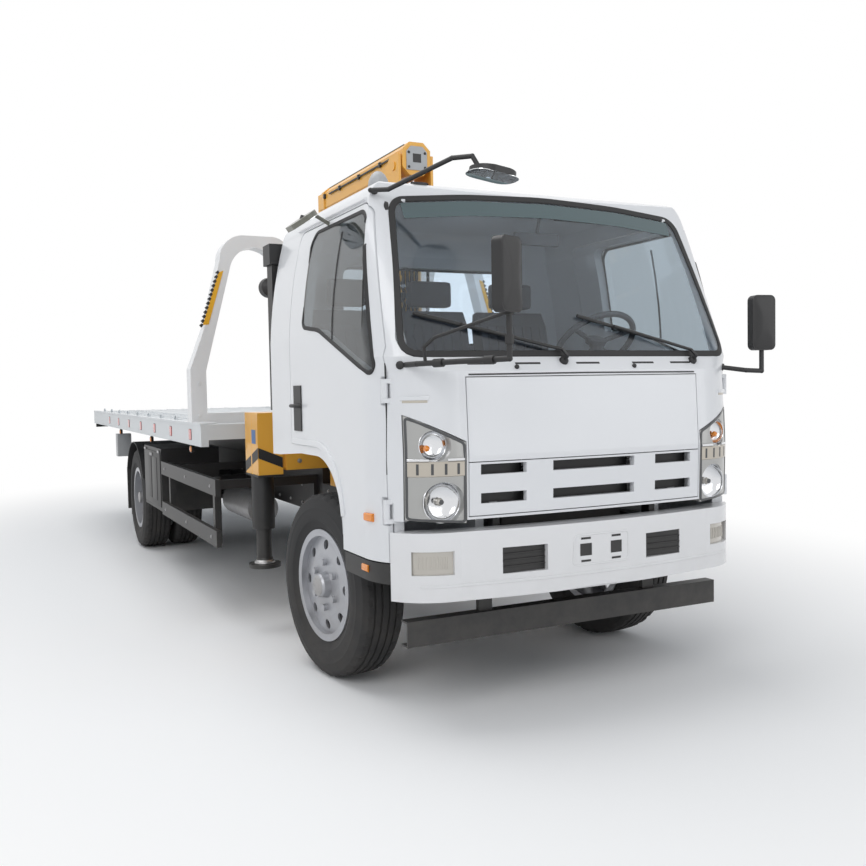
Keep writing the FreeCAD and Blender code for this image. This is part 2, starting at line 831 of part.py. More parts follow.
def make_powertrain():
    """Plain block for the engine and gearbox, the propeller shaft and the exhaust."""
    engine = block((-560, 360), (-310, 310), (520, 1020))
    gearbox = block((-1180, -560), (-150, 150), (500, 780))
    inner = S.frame_half - S.rail_web - S.seat_gap
    mounts = [block((-60, 0), (side * 300, side * inner), (650, 700)) for name, side in SIDES]
    shaft = rod("x", (0, 560), (-S.wheelbase + 190 + S.seat_gap, -1180 - S.seat_gap), 45)
    radiator = block((700, 790), (-320, 320), (560, 1030))
    feet = block((700, 790), (-inner, inner), (610, 640))
    deliver("powertrain", grouped(fused(engine, gearbox, *mounts), shaft, fused(radiator, feet)))
    can = rod("x", (-560, 560), (-2900, -2150), 110)
    pipe = rod("x", (-560, 560), (-3250, -2900), 38)
    hanger = block((-2540, -2500), (-400 - S.seat_gap, -470), (540, 700))
    deliver("exhaust", fused(can, pipe, hanger))


def arc_reach(radius, along):
    """How far an arc of that radius reaches sideways at a distance along from its centre."""
    value = math.sqrt(radius.value * radius.value - along.value * along.value)
    return Size(value, "sqrt(%s * %s - %s * %s)" % (radius.text, radius.text, along.text, along.text))


def bumper_plan(inset, end_x):
    """Plan outline of the bumper, drawn inward by inset and ending at end_x."""
    corner = S.bumper_corner - inset
    brow = S.bumper_front - S.bumper_bow - inset
    flat = S.bumper_flat
    reach = arc_reach(corner, end_x - (brow - corner))
    return [
        (end_x, -flat - reach),
        (brow, -flat, corner),
        (brow, flat, bow_radius(flat, S.bumper_bow)),
        (end_x, flat + reach, corner),
    ]


def make_bumper():
    """Wrap-round bumper with fog lamp pockets, ducts and a flat plate pad."""
    end_x = S.bumper_end_x
    outer = prism("XY", bumper_plan(as_size(0), end_x), (S.bumper_bottom, S.bumper_top))
    inner = prism("XY", bumper_plan(S.bumper_wall, end_x - 10), (S.bumper_bottom + 30, S.bumper_top - 30))
    middle = prism("XY", bumper_plan(as_size(105), end_x - 20), (S.bumper_bottom - 5, S.bumper_top + 5))
    openings = []
    for name, side in SIDES:
        openings.append(block((860, 1100), (side * 668, side * 829), (645, 741)))
        openings.append(block((860, 1100), (side * 256, side * 462), (632, 740)))
    underside = prism("XZ", [
        (S.bumper_front + 40, S.bumper_bottom - 20),
        (S.bumper_front + 40, S.bumper_bottom + 60),
        (S.bumper_front - 22, S.bumper_bottom - 20),
    ], (-940, 940))
    shell = cut(outer, inner, middle, underside, *openings)
    brackets = [block((S.rail_front - 40, 1000), (side * (S.frame_half + S.seat_gap), side * (S.frame_half + 12)),
                      (640, 760)) for name, side in SIDES]
    plate = block((985, 1030), (-S.frame_half - 60, S.frame_half + 60), (640, 760))
    deliver("front_bumper", fused(shell, plate, *brackets))
    gap = S.seat_gap
    band = cut(prism("XY", bumper_plan(as_size(14), end_x), (600, 780)),
               prism("XY", bumper_plan(as_size(60), end_x - 10), (590, 790)))
    lamps = [common(band, block((800, 1100), (side * (668 + gap), side * (829 - gap)), (645 + gap, 741 - gap)))
             for name, side in SIDES]
    deliver("fog_lamps", grouped(*lamps))


def make_underrun():
    """Front underrun bar, a channel held by two drop brackets."""
    bar = block((S.underrun_front, S.underrun_front + S.underrun_deep), (-S.underrun_half, S.underrun_half),
                (S.underrun_bottom, S.underrun_top))
    hollow = block((S.underrun_front - 10, S.underrun_front + S.underrun_deep - 8),
                   (-S.underrun_half - 5, S.underrun_half + 5), (S.underrun_bottom + 8, S.underrun_top - 8))
    drops = [block((S.underrun_front + 8, S.underrun_front + 34), (side * 405, side * 470),
                   (S.underrun_bottom + 4, 636)) for name, side in SIDES]
    arms = [block((S.underrun_front - 30, S.underrun_front + 34), (side * (S.frame_half + S.seat_gap), side * 440),
                  (604, 636)) for name, side in SIDES]
    deliver("underrun_bar", fused(cut(bar, hollow), *drops, *arms))


def make_side_equipment():
    """Fuel tank, tool boxes, side guards, rear fenders and tail lamps."""
    reach = S.frame_half + S.seat_gap
    tank = fused(rod("x", (700, 640), (-2650, -1500), 210),
                 block((-2500, -2460), (reach, 520), (560, 760)),
                 block((-1700, -1660), (reach, 520), (560, 760)))
    deliver("fuel_tank", tank)
    boxes = []
    for name, side in SIDES:
        body = block((S.toolbox_back, S.toolbox_front), (side * S.toolbox_inner_y, side * S.toolbox_outer_y),
                     (S.toolbox_bottom, S.toolbox_top))
        arms = [block((x - 30, x + 30), (side * reach, side * (S.toolbox_inner_y + 5)), (640, 720))
                for x in (S.toolbox_back + 120, S.toolbox_front - 120)]
        boxes.append(fused(body, *arms))
    deliver("tool_boxes", grouped(*boxes))
    guards = []
    for name, side in SIDES:
        y = (side * S.guard_y, side * (S.guard_y + 30))
        rails = [block((S.guard_back, S.guard_front), y, (z - 50, z + 50)) for z in (510, 820)]
        posts = [block((x, x + 50), (side * (S.guard_y - 40), side * (S.guard_y + 1)), (460, 870))
                 for x in (S.guard_back + 150, S.guard_front - 200)]
        low_arm = [block((x, x + 50), (side * reach, side * (S.guard_y - 20)), (795, 850))
                   for x in (S.guard_back + 150, S.guard_front - 200)]
        roots = [block((x, x + 50), (side * reach, side * (reach + 30)), (700, 850))
                 for x in (S.guard_back + 150, S.guard_front - 200)]
        guards.append(fused(*rails, *posts, *low_arm, *roots))
    deliver("side_guards", grouped(*guards))
    fenders = []
    x = -S.wheelbase
    for name, side in SIDES:
        y = (side * 560, side * 1090)
        ring = cut(rod("y", (x, S.tyre_radius), y, S.tyre_radius + 62),
                   rod("y", (x, S.tyre_radius), (side * 550, side * 1100), S.tyre_radius + 54),
                   block((x - 700, x + 700), (side * 540, side * 1110), (-200, S.tyre_radius + 210)))
        arm = block((x - 30, x + 30), (side * reach, side * 600), (760, 960))
        flap = block((x - 462, x - 448), y, (300, S.tyre_radius + 245))
        fenders.append(fused(ring, cut(arm, rod("y", (x, S.tyre_radius), (side * 300, side * 700),
                                                S.tyre_radius + 54)), flap))
    deliver("rear_fenders", grouped(*fenders))
    lamps = []
    for name, side in SIDES:
        arm = block((-5330, -5290), (side * reach, side * 1010), (800, 850))
        root = block((-5330, -5290), (side * reach, side * (reach + 30)), (700, 850))
        case = block((-5350, -5230), (side * 1000, side * 1130), (780, 1000))
        lamps.append(fused(arm, root, case))
    deliver("tail_lamps", grouped(*lamps))


# cab

def cab_plan(front, corner_size, inset):
    """Plan outline of the cab at one height, bowed at the front, round at its corners."""
    half = S.cab_half - inset
    bow = S.cab_bow
    corner = corner_size - inset * 0.8
    flat = half - corner
    back = -1400
    return [
        (back, -half),
        (front - bow - corner - inset, -half),
        (front - bow - inset, -flat, corner),
        (front - bow - inset, flat, bow_radius(flat, bow)),
        (front - bow - corner - inset, half, corner),
        (back, half),
    ]


def free_sketch(points, z):
    """A closed level sketch at height z, outside any body."""
    sketch = document.addObject("Sketcher::SketchObject", "Level")
    bind(sketch, "Placement.Base.z", z)
    draw_outline(sketch, points)
    return sketch


def cab_form(inset):
    """The cab's solid outer form, drawn inward by inset."""
    levels = [
        (S.cab_low_z, S.cab_front_low, S.cab_corner),
        (S.cab_mid_z, S.cab_front_mid, S.cab_corner),
        (S.belt_z, S.cab_front_belt, S.cab_corner),
        (S.screen_base_z, S.screen_base_x, S.screen_corner),
        (S.screen_over_z, S.screen_top_x, S.roof_corner),
    ]
    loft = document.addObject("Part::Loft", "CabLoft")
    loft.Sections = [free_sketch(cab_plan(front, corner, inset), z) for z, front, corner in levels]
    loft.Solid = True
    loft.Ruled = True
    top = S.roof_z - inset
    roof = prism("XZ", [
        (S.cab_back + inset, 500),
        (1200, 500),
        (1200, S.roof_edge_z - 60 - inset),
        (S.roof_lip_x + 30 - inset, S.roof_edge_z - inset),
        (S.roof_front_x, top - 12, 300),
        (S.roof_back_x + 60, top, 9000),
        (S.cab_back + inset, top - 120, S.roof_radius),
    ], (-1000, 1000))
    side = prism("YZ", [
        (-S.cab_half + inset - 6, 500),
        (S.cab_half - inset + 6, 500),
        (S.cab_half - inset + 2, S.belt_z),
        (S.roof_half - inset, S.roof_edge_z - 30 - inset, 2600),
        (S.roof_corner_y, top - 8, 130),
        (-S.roof_corner_y, top - 8, 15000),
        (-S.roof_half + inset, S.roof_edge_z - 30 - inset, 130),
        (-S.cab_half + inset - 2, S.belt_z, 2600),
    ], (-1300, 1300))
    return common(common(loft, roof), side)


def lower_cut(clear):
    """What is open under the cab: wheel arches, engine tunnel and the space under the front."""
    arch = prism("XZ", [
        (-1500, 300),
        (S.arch_front_x - clear, 300),
        (S.arch_front_x - clear, S.arch_top_z - S.arch_round + clear),
        (S.arch_front_x - S.arch_round - clear, S.arch_top_z + clear, S.arch_round),
        (-120, S.arch_top_z + clear),
        (S.cab_back + 120, S.arch_back_z + 20 + clear),
        (-1500, S.arch_back_z + clear),
    ], (-1200, 1200))
    under = block((200, 1300), (-1200, 1200), (300, S.door_bottom_z))
    front = block((S.door_front_x, 1300), (-1200, 1200), (300, S.front_bottom_z))
    tunnel = block((-1500, 955), (-S.tunnel_half - clear, S.tunnel_half + clear), (300, S.tunnel_top + clear))
    return fused(arch, under, front, tunnel)


def cab_room():
    """The hollow inside the cab, above its floor."""
    hollow = cab_form(S.cab_wall)
    wall = S.tunnel_wall
    arch = prism("XZ", [
        (-1500, 300),
        (S.arch_front_x + wall, 300),
        (S.arch_front_x + wall, S.arch_top_z + wall),
        (-1500, S.arch_top_z + wall),
    ], (-1200, 1200))
    floor = block((200, 1300), (-1200, 1200), (300, S.foot_floor_z))
    tunnel = block((-1500, 1300), (-S.tunnel_half - wall, S.tunnel_half + wall), (300, S.tunnel_top + wall))
    front = block((S.firewall_x, 1300), (-1200, 1200), (300, S.belt_z + 10))
    return cut(hollow, arch, floor, tunnel, front)


def door_outline(gap):
    """Side outline of a door, drawn inward by gap."""
    arch = S.arch_round - gap
    return [
        (S.arch_front_x + gap, S.door_bottom_z - 100),
        (S.door_front_x - gap, S.door_bottom_z - 100),
        (S.door_front_x - gap, S.screen_base_z + 40),
        (S.roof_lip_x - 8 - gap, S.door_top_z - 60),
        (S.roof_lip_x - 70 - gap, S.door_top_z - gap, 90),
        (S.door_back_x + 60 + gap, S.door_top_z - gap),
        (S.door_back_x + gap, S.door_top_z - 60 - gap, 60),
        (S.door_back_x + gap, S.arch_top_z + 40 + gap),
        (S.arch_front_x - S.arch_round, S.arch_top_z + 40 + gap),
        (S.arch_front_x + gap, S.arch_top_z - arch + 40, -S.arch_round + gap),
    ]


def door_space(side, gap):
    """Where a door lies in the cab's side: its outline, as deep as the wall."""
    inner = S.cab_half - S.cab_wall - 17 + gap
    high = S.roof_half - S.cab_wall - 22 + gap
    slab = prism("YZ", [
        (side * inner, 500),
        (side * 1000, 500),
        (side * 1000, 2300),
        (side * high, 2300),
        (side * high, S.door_top_z),
        (side * inner, S.screen_base_z),
    ], (-1000, 1200))
    return common(prism("XZ", door_outline(gap), (side * 700, side * 1000)), slab)


def side_window(inset):
    """Outline of the door's window with its low front corner, drawn inward by inset."""
    return [
        (-60 + inset, 1700 + inset),
        (170, 1676 + inset),
        (775 - inset * 1.5, 1458 + inset),
        (812 - inset, 1500),
        (632 - inset, 2120 - inset),
        (582 - inset, 2155 - inset, 60),
        (-10 + inset, 2155 - inset),
        (-60 + inset, 2105 - inset, 50),
    ]


def windscreen_outline(inset):
    """Front outline of the windscreen, drawn inward by inset."""
    low = S.screen_base_z + inset
    return [
        (-780 + inset, low),
        (780 - inset, low),
        (850 - inset, low + 75, 75),
        (772 - inset, 2150 - inset),
        (700 - inset, 2212 - inset, 75),
        (-700 + inset, 2212 - inset, 6000),
        (-772 + inset, 2150 - inset, 75),
        (-850 + inset, low + 75),
        (-780 + inset, low, 75),
    ][1:]


def rear_window_outline(inset):
    """Rear outline of the back window, drawn inward by inset."""
    half = 520 - inset
    low = 1640 + inset
    top = 2080 - inset
    return [
        (half - 70, low),
        (half, low + 70, 70),
        (half, top - 70),
        (half - 70, top, 70),
        (-half + 70, top),
        (-half, top - 70, 70),
        (-half, low + 70),
        (-half + 70, low, 70),
    ]


def make_cab():
    """Cab shell, front lid, grille, doors and glass, all cut from one form."""
    outer = cab_form(as_size(0))
    walls = cut(outer, cab_room(), lower_cut(as_size(0)))
    skin = cut(outer, cab_form(S.glass_thick))
    screen_front = (S.cab_pivot_x - 620, 1200)
    windscreen_hole = prism("YZ", windscreen_outline(as_size(0)), screen_front)
    rear_hole = prism("YZ", rear_window_outline(as_size(0)), (S.cab_back - 60, S.cab_back + 120))
    lid_space = block((925, 1200), (-S.lid_half, S.lid_half), (S.grille_bottom_z, S.lid_top_z))
    lamp_spaces = [lamp_room(side, as_size(0), as_size(0)) for name, side in SIDES]
    door_spaces = [door_space(side, as_size(0)) for name, side in SIDES]
    notches = [hinge_notch(side, z, 6) for name, side in SIDES for z in (S.hinge_low_z, S.hinge_high_z)]
    arm_rooms = [block((S.firewall_x, S.cab_pivot_x + 20), (side * (S.frame_half - 8), side * (S.frame_half + 36)),
                       (850, S.cab_pivot_z + 24)) for name, side in SIDES]
    shell = cut(walls, windscreen_hole, rear_hole, lid_space, *lamp_spaces, *door_spaces, *notches, *arm_rooms)
    deliver("cab_shell", fused(shell, *cab_mounts(), *door_pins()))
    gap = S.seat_gap
    front_glass = common(skin, prism("YZ", windscreen_outline(gap), screen_front))
    rear_glass = common(skin, prism("YZ", rear_window_outline(gap), (S.cab_back - 60, S.cab_back + 120)))
    deliver("cab_glass", grouped(front_glass, rear_glass))
    lid = block((S.lid_back_x, 1200), (-S.lid_half + 4, S.lid_half - 4), (S.lid_bottom_z, S.lid_top_z - 4))
    rests = [block((925 + gap, S.lid_back_x + 10), (side * 480, side * (S.lid_half - 20)), (S.lid_bottom_z + 40, 1380))
             for name, side in SIDES]
    deliver("front_lid", fused(common(outer, lid), *rests))
    deliver("grille", make_grille(outer))
    deliver("headlamps", grouped(*[make_headlamp(side, outer) for name, side in SIDES]))
    for name, side in SIDES:
        make_door(name, side, walls, skin)
    deliver("cab_sills", grouped(*[make_sill(side, outer) for name, side in SIDES]))
    return outer


def make_sill(side, outer):
    """Lower side panel under a door, hung from the cab's floor."""
    panel = cut(common(outer, block((465, 858), (side * 700, side * 1000), (S.cab_low_z, S.door_bottom_z - 6))),
                cab_form(as_size(30)))
    flange = block((465, 798), (side * 780, side * 905), (S.door_bottom_z - 22, S.door_bottom_z - 10))
    riser = block((465, 798), (side * 780, side * 855), (S.door_bottom_z - 11, S.door_bottom_z - S.seat_gap))
    return fused(panel, flange, riser)


def lamp_room(side, gap, behind):
    """Room for a headlamp round the cab's front corner, drawn inward by gap and moved forward by behind."""
    seat = S.cab_front_low - S.lamp_depth + behind
    face = prism("YZ", [
        (side * (S.lamp_inner_y + gap), S.lamp_bottom_z + gap),
        (side * (S.lamp_outer_y - gap), S.lamp_bottom_z + 18 + gap),
        (side * (S.lamp_outer_y - gap), S.lamp_outer_top_z - gap),
        (side * (S.lamp_inner_y + gap), S.lamp_top_z - gap),
    ], (800, 1200))
    plan = prism("XY", [
        (1200, side * 560),
        (seat, side * 560),
        (seat, side * 700),
        (seat - 30, side * 900),
        (1200, side * 900),
    ], (700, 1400))
    return common(face, plan)


def hinge_notch(side, z, over):
    """Room round one door hinge, that much taller than its barrel."""
    high = S.hinge_tall / 2 + over
    return block((S.door_front_x - 30, S.door_front_x + 22), (side * (S.hinge_pin_y - 22), side * 1000),
                 (z - high, z + high))


def door_pins():
    """Door hinge pins, each held by a lug above and below the barrel."""
    pins = []
    x = S.door_front_x
    high = S.hinge_tall / 2 + S.seat_gap
    for name, side in SIDES:
        y = side * S.hinge_pin_y
        for z in (S.hinge_low_z, S.hinge_high_z):
            pins.append(rod("z", (x, y), (z - high - 18, z + high + 18), S.hinge_pin_radius))
            for way in (-1, 1):
                level = (z + way * high, z + way * (high + 18))
                pins.append(rod("z", (x, y), level, S.hinge_barrel_radius))
                pins.append(block((x, x + S.hinge_barrel_radius), (side * 850, y), level))
    return pins


def cab_mounts():
    """Tilt hinge eyes in front of the firewall."""
    eyes = []
    x = S.cab_pivot_x
    z = S.cab_pivot_z
    for name, side in SIDES:
        y = (side * (S.tunnel_half + 2), side * (S.tunnel_half + 32))
        eye = fused(block((S.firewall_x + 20, x), y, (z - 20, z + 20)), rod("y", (x, z), y, 23))
        eyes.append(cut(eye, rod("y", (x, z), (side * S.tunnel_half, side * (S.tunnel_half + 50)),
                                 16 + S.running_gap)))
    return eyes


def make_grille(outer):
    """Grille with two rows of three slots above its lip."""
    panel = common(outer, block((S.grille_back_x, 1200), (-S.lid_half + 4, S.lid_half - 4),
                                (S.grille_bottom_z + 4, S.lid_bottom_z - 4)))
    slots = []
    for top in (1084, 966):
        for low_y, high_y in ((-545, -335), (-207, 216), (335, 545)):
            slots.append(block((900, 1200), (low_y, high_y), (top - 42, top)))
    rests = [block((925 + S.seat_gap, S.grille_back_x + 5), (side * 560, side * (S.lid_half - 6)), (880, 1085))
             for name, side in SIDES]
    return fused(cut(panel, *slots), *rests)


def make_headlamp(side, outer):
    """Headlamp block that follows the cab's corner, with two round lamps sunk in it."""
    body = common(outer, lamp_room(side, as_size(4), S.seat_gap))
    bowls = []
    lenses = []
    for z, y, radius, floor in ((936, 702, 84, 930), (1166, 735, 62, 922)):
        bowls.append(rod("x", (side * y, z), (floor, 1200), radius))
        lenses.append(rod("x", (side * y, z), (floor - 1, floor + 8), radius - 12))
    return fused(cut(body, *bowls), *lenses)


def make_door(name, side, walls, skin):
    """A whole door with its window frame, hinges and handle, and its glass."""
    reach = (side * 700, side * 1000)
    panel = common(walls, door_space(side, S.door_gap))
    window = prism("XZ", side_window(as_size(0)), reach)
    levels = (S.hinge_low_z, S.hinge_high_z)
    lugs = [hinge_notch(side, z, 28) for z in levels]
    x = S.door_front_x
    y = side * S.hinge_pin_y
    panel = cut(panel, window, *lugs)
    hinges = []
    for z in levels:
        barrel = rod("z", (x, y), (z - S.hinge_tall / 2, z + S.hinge_tall / 2), S.hinge_barrel_radius)
        leaf = block((x - 70, x), (side * (S.hinge_pin_y - 16), y), (z - S.hinge_tall / 2, z + S.hinge_tall / 2))
        bore = rod("z", (x, y), (z - 60, z + 60), S.hinge_pin_radius + S.running_gap)
        hinges.append(cut(fused(barrel, leaf), bore))
    deliver("door_" + name, fused(panel, *hinges))
    glass = common(skin, prism("XZ", side_window(S.seat_gap), reach))
    deliver("window_" + name, glass)


# crane behind the cab

def make_crane_base():
    """Pedestal on the frame with the outrigger housing through it."""
    front = S.outrigger_front
    back = S.outrigger_back
    wall = S.outrigger_wall
    housing = block((back, front), (-S.housing_half, S.housing_half), (S.outrigger_bottom, S.outrigger_top))
    hollow = block((back + wall, front - wall), (-S.housing_half - 10, S.housing_half + 10),
                   (S.outrigger_bottom + wall, S.outrigger_top - wall))
    pads = [block((back - 60, front + 60), (side * 300, side * S.frame_half),
                  (S.rail_top + S.seat_gap, S.outrigger_bottom + 1)) for name, side in SIDES]
    turret = rod("z", (S.crane_x, 0), (S.outrigger_top - 1, S.crane_base_top), S.column_radius + 45)
    deliver("crane_base", fused(cut(housing, hollow), *pads, turret))


def make_column():
    """Slewing column with the head that carries the boom's pin."""
    x = S.crane_x
    low = S.crane_base_top + S.seat_gap
    post = rod("z", (x, 0), (low, S.column_top), S.column_radius)
    ring = rod("z", (x, 0), (low, low + 60), S.column_radius + 40)
    cheek = [
        (x + S.column_radius - 10, 2380),
        (S.boom_pivot_x + 70, 2560),
        (S.boom_pivot_x + 70, S.boom_pivot_z + 60),
        (S.boom_pivot_x - 60, S.boom_pivot_z + 60),
        (x - 20, 2620),
        (S.luff_foot_x - 50, S.luff_foot_z + 60),
        (S.luff_foot_x - 50, S.luff_foot_z - 50),
        (x - S.column_radius + 20, 2280),
    ]
    inner = S.boom_width / 2 + S.moving_gap
    cheeks = [prism("XZ", cheek, (side * inner, side * (inner + 16))) for name, side in SIDES]
    shoulder = block((x - 110, x + 110), (-inner - 16, inner + 16), (2280, 2400))
    pin = rod("y", (S.boom_pivot_x, S.boom_pivot_z), (-inner - 22, inner + 22), 26)
    foot = rod("y", (S.luff_foot_x, S.luff_foot_z), (-inner - 20, inner + 20), 20)
    room = block((x - 400, x + 400), (-inner, inner), (2400, 2900))
    column = fused(cut(fused(post, shoulder), room), ring, *cheeks, pin, foot)
    deliver("crane_column", column)


def boom_outline(inset):
    """Six-sided boom section, drawn inward by inset."""
    half = S.boom_width / 2 - inset
    low = S.boom_bottom + inset
    top = S.boom_bottom + S.boom_tall - inset
    edge = 45 - inset * 0.4
    return [(-half + edge, low), (half - edge, low), (half, low + edge), (half, top - edge),
            (half - edge, top), (-half + edge, top), (-half, top - edge), (-half, low + edge)]


def make_boom():
    """Boom base and its telescoping inner section with the hook block at the tip."""
    tail = S.boom_tail_x
    base = prism("YZ", boom_outline(as_size(0)), (S.boom_tip_x, tail))
    hollow = prism("YZ", boom_outline(S.boom_wall), (S.boom_tip_x - 10, tail - 130))
    bore = rod("y", (S.boom_pivot_x, S.boom_pivot_z), (-200, 200), 26 + S.running_gap)
    ears = [prism("XZ", [(S.luff_eye_x + 110, S.boom_bottom + 20), (S.luff_eye_x + 40, S.luff_eye_z - 30),
                         (S.luff_eye_x - 30, S.luff_eye_z - 30), (S.luff_eye_x - 45, S.boom_bottom + 20)],
                  (side * 40, side * 54)) for name, side in SIDES]
    caps = [rod("y", (S.luff_eye_x, S.luff_eye_z), (side * 53, side * 64), 20) for name, side in SIDES]
    trimmed = [cut(ear, prism("YZ", boom_outline(S.boom_wall), (S.boom_tip_x - 10, tail))) for ear in ears]
    deliver("boom_base", fused(cut(base, hollow, bore), *trimmed, *caps))
    inset = S.boom_wall + S.seat_gap
    inner = prism("YZ", boom_outline(inset), (S.boom_inner_tip_x, S.boom_tail_x - 140))
    bored = prism("YZ", boom_outline(inset + S.boom_wall), (S.boom_inner_tip_x - 10, S.boom_tail_x - 170))
    plates = [block((S.boom_inner_tip_x - 90, S.boom_inner_tip_x + 30), (side * 46, side * 60),
                    (S.boom_bottom - 40, S.boom_bottom + S.boom_tall - 20)) for name, side in SIDES]
    wheel = rod("y", (S.boom_inner_tip_x - 40, S.boom_bottom + 40), (-60, 60), 34)
    deliver("boom_inner", fused(cut(inner, bored), *plates, wheel))


def make_cylinder(label, foot, eye, y, barrel_radius, rod_radius, foot_radius, reach):
    """A ram at rest between two pins: its barrel and its rod, as two sub-parts."""
    run = math.hypot((eye[0] - foot[0]).value, (eye[1] - foot[1]).value)
    gland = run * 0.74
    items = []
    for side_y in y:
        eye_ring = rod("y", foot, (side_y - reach, side_y + reach), foot_radius + 20)
        barrel = slanted_rod(foot, eye, barrel_radius, side_y, 20, run - gland)
        bore = slanted_rod(foot, eye, rod_radius + S.running_gap, side_y, 60, run - gland - 20)
        pin_hole = rod("y", foot, (side_y - 90, side_y + 90), foot_radius + S.running_gap)
        items.append(cut(fused(eye_ring, barrel), bore, pin_hole))
    deliver(label + "_barrel", grouped(*items) if len(items) > 1 else items[0])
    items = []
    for side_y in y:
        piston = slanted_rod(foot, eye, rod_radius, side_y, 90, 20)
        eye_ring = rod("y", eye, (side_y - reach, side_y + reach), rod_radius + 8)
        hole = rod("y", eye, (side_y - 90, side_y + 90), rod_radius - 8)
        items.append(cut(fused(piston, eye_ring), hole))
    deliver(label + "_rod", grouped(*items) if len(items) > 1 else items[0])


def make_outriggers():
    """Sliding outrigger beams with their jack sleeves, and the jack legs."""
    gap = S.outrigger_wall + S.seat_gap
    x = (S.outrigger_back + gap, S.outrigger_front - gap)
    z = (S.outrigger_bottom + gap, S.outrigger_top - gap)
    middle = (S.outrigger_back + S.outrigger_front) / 2
    for name, side in SIDES:
        tube = block(x, (side * 20, side * (S.jack_inner_y + 5)), z)
        hollow = block((x[0] + 10, x[1] - 10), (side * 10, side * (S.jack_inner_y - 20)), (z[0] + 10, z[1] - 10))
        head = block((S.outrigger_back - 4, S.outrigger_front + 4), (side * S.jack_inner_y, side * S.jack_outer_y),
                     (S.jack_bottom, S.jack_top))
        sleeve = rod("z", (middle, side * S.leg_y), (S.leg_sleeve_bottom, S.jack_top), S.leg_radius)
        bore = rod("z", (middle, side * S.leg_y), (S.leg_sleeve_bottom - 10, S.jack_top - 30),
                   S.leg_rod_radius + S.running_gap)
        beam = cut(fused(cut(tube, hollow), head, sleeve), bore)
        deliver("outrigger_" + name, beam)
        leg = rod("z", (middle, side * S.leg_y), (S.foot_bottom + 5, S.jack_top - 60), S.leg_rod_radius)
        foot = rod("z", (middle, side * S.leg_y), (S.foot_bottom, S.foot_bottom + S.foot_thick), S.foot_radius)
        deliver("jack_leg_" + name, fused(leg, foot))


# bed

def make_tilt_frame():
    """Frame that tilts about the rear pivot and guides the sliding bed."""
    low = S.rail_top + S.subframe_tall
    high = S.slide_bottom - S.seat_gap
    rails = [block((S.tilt_rear, S.tilt_front), (side * S.slide_half_inner, side * S.slide_half_outer),
                   (low, high)) for name, side in SIDES]
    ties = [block((x, x + 70), (-S.slide_half_inner - 1, S.slide_half_inner + 1), (low + 30, high - 20))
            for x in (S.tilt_front - 80, S.tilt_eye_x + 105, as_size(-3900), as_size(-4900), S.tilt_rear + 5)]
    ears = [block((S.tilt_pivot_x - 50, S.tilt_pivot_x + 50), (side * 325, side * 395),
                  (S.tilt_pivot_z - 45, low + 1)) for name, side in SIDES]
    bores = [rod("y", (S.tilt_pivot_x, S.tilt_pivot_z), (side * 290, side * 410),
                 S.tilt_pin_radius + S.running_gap) for name, side in SIDES]
    lugs = []
    for name, side in SIDES:
        y = side * S.tilt_cylinder_y
        for lug_y in (y - 58, y + 44):
            lugs.append(block((S.tilt_eye_x - 60, S.tilt_eye_x + 110), (lug_y, lug_y + 14), (low + 10, high - 22)))
    deliver("tilt_frame", cut(fused(*rails, *ties, *ears, *lugs), *bores))


def make_bed():
    """Flat deck with side skirts, cross beams and the slide rails under it."""
    back = S.bed_front - S.bed_length
    top = S.deck_top
    low = top - S.skirt_tall
    deck = block((back, S.bed_front), (-S.bed_half + 5, S.bed_half - 5), (top - S.deck_thick, top))
    skirts = [prism("YZ", [(side * (S.bed_half - S.skirt_thick), low), (side * S.bed_half, low),
                           (side * S.bed_half, top), (side * (S.bed_half - S.skirt_thick), top)],
                    (back, S.bed_front)) for name, side in SIDES]
    under = top - S.deck_thick
    pitch = (S.bed_length - S.bed_beam_wide) / (S.bed_beams - 1)
    beams = []
    for number in range(int(S.bed_beams.value)):
        x = back + pitch * number
        beams.append(block((x, x + S.bed_beam_wide), (-S.bed_half + 6, S.bed_half - 6),
                           (under - S.bed_beam_tall, under + 1)))
    rails = [block((back + 40, S.bed_front - 40), (side * S.slide_half_inner, side * S.slide_half_outer),
                   (S.slide_bottom, under + 1)) for name, side in SIDES]
    deliver("bed_deck", fused(deck, *skirts, *beams, *rails))


def make_headboard():
    """Headboard with an arched window on each side of the gap for the boom."""
    front = S.headboard_front
    span = (front - S.headboard_thick, front)
    half = S.bed_half - S.headboard_inset
    low_y, high_y = half - S.window_low_in, half - S.window_high_in
    halves = []
    for name, side in SIDES:
        panel = [
            (side * (S.headboard_gap_half - 120), S.deck_top + S.seat_gap),
            (side * half, S.deck_top + S.seat_gap),
            (side * half, S.headboard_waist_z),
            (side * (half - S.headboard_slant_in), S.headboard_slant_z),
            (side * (half - S.headboard_top_in), S.headboard_shoulder_z),
            (side * (half - S.headboard_crown_in), S.headboard_top, side * 160),
            (side * 600, S.headboard_top),
            (side * 480, S.headboard_top - 120, side * 125),
            (side * S.headboard_gap_half, S.headboard_rail_z),
            (side * (S.headboard_gap_half - 120), S.headboard_rail_z),
        ]
        window = [
            (side * S.window_inner_low, S.window_bottom),
            (side * low_y, S.window_bottom),
            (side * low_y, S.headboard_waist_z - 10),
            (side * high_y, S.window_high_z),
            (side * (high_y + S.window_inner_high) / 2, S.window_top_z, side * 170),
            (side * S.window_inner_high, S.window_high_z, side * 170),
        ]
        halves.append(cut(prism("YZ", panel, span), prism("YZ", window, (span[0] - 10, span[1] + 10))))
    rail = block(span, (-S.headboard_gap_half, S.headboard_gap_half), (S.deck_top + S.seat_gap, S.headboard_rail_z))
    deliver("headboard", fused(*halves, rail))


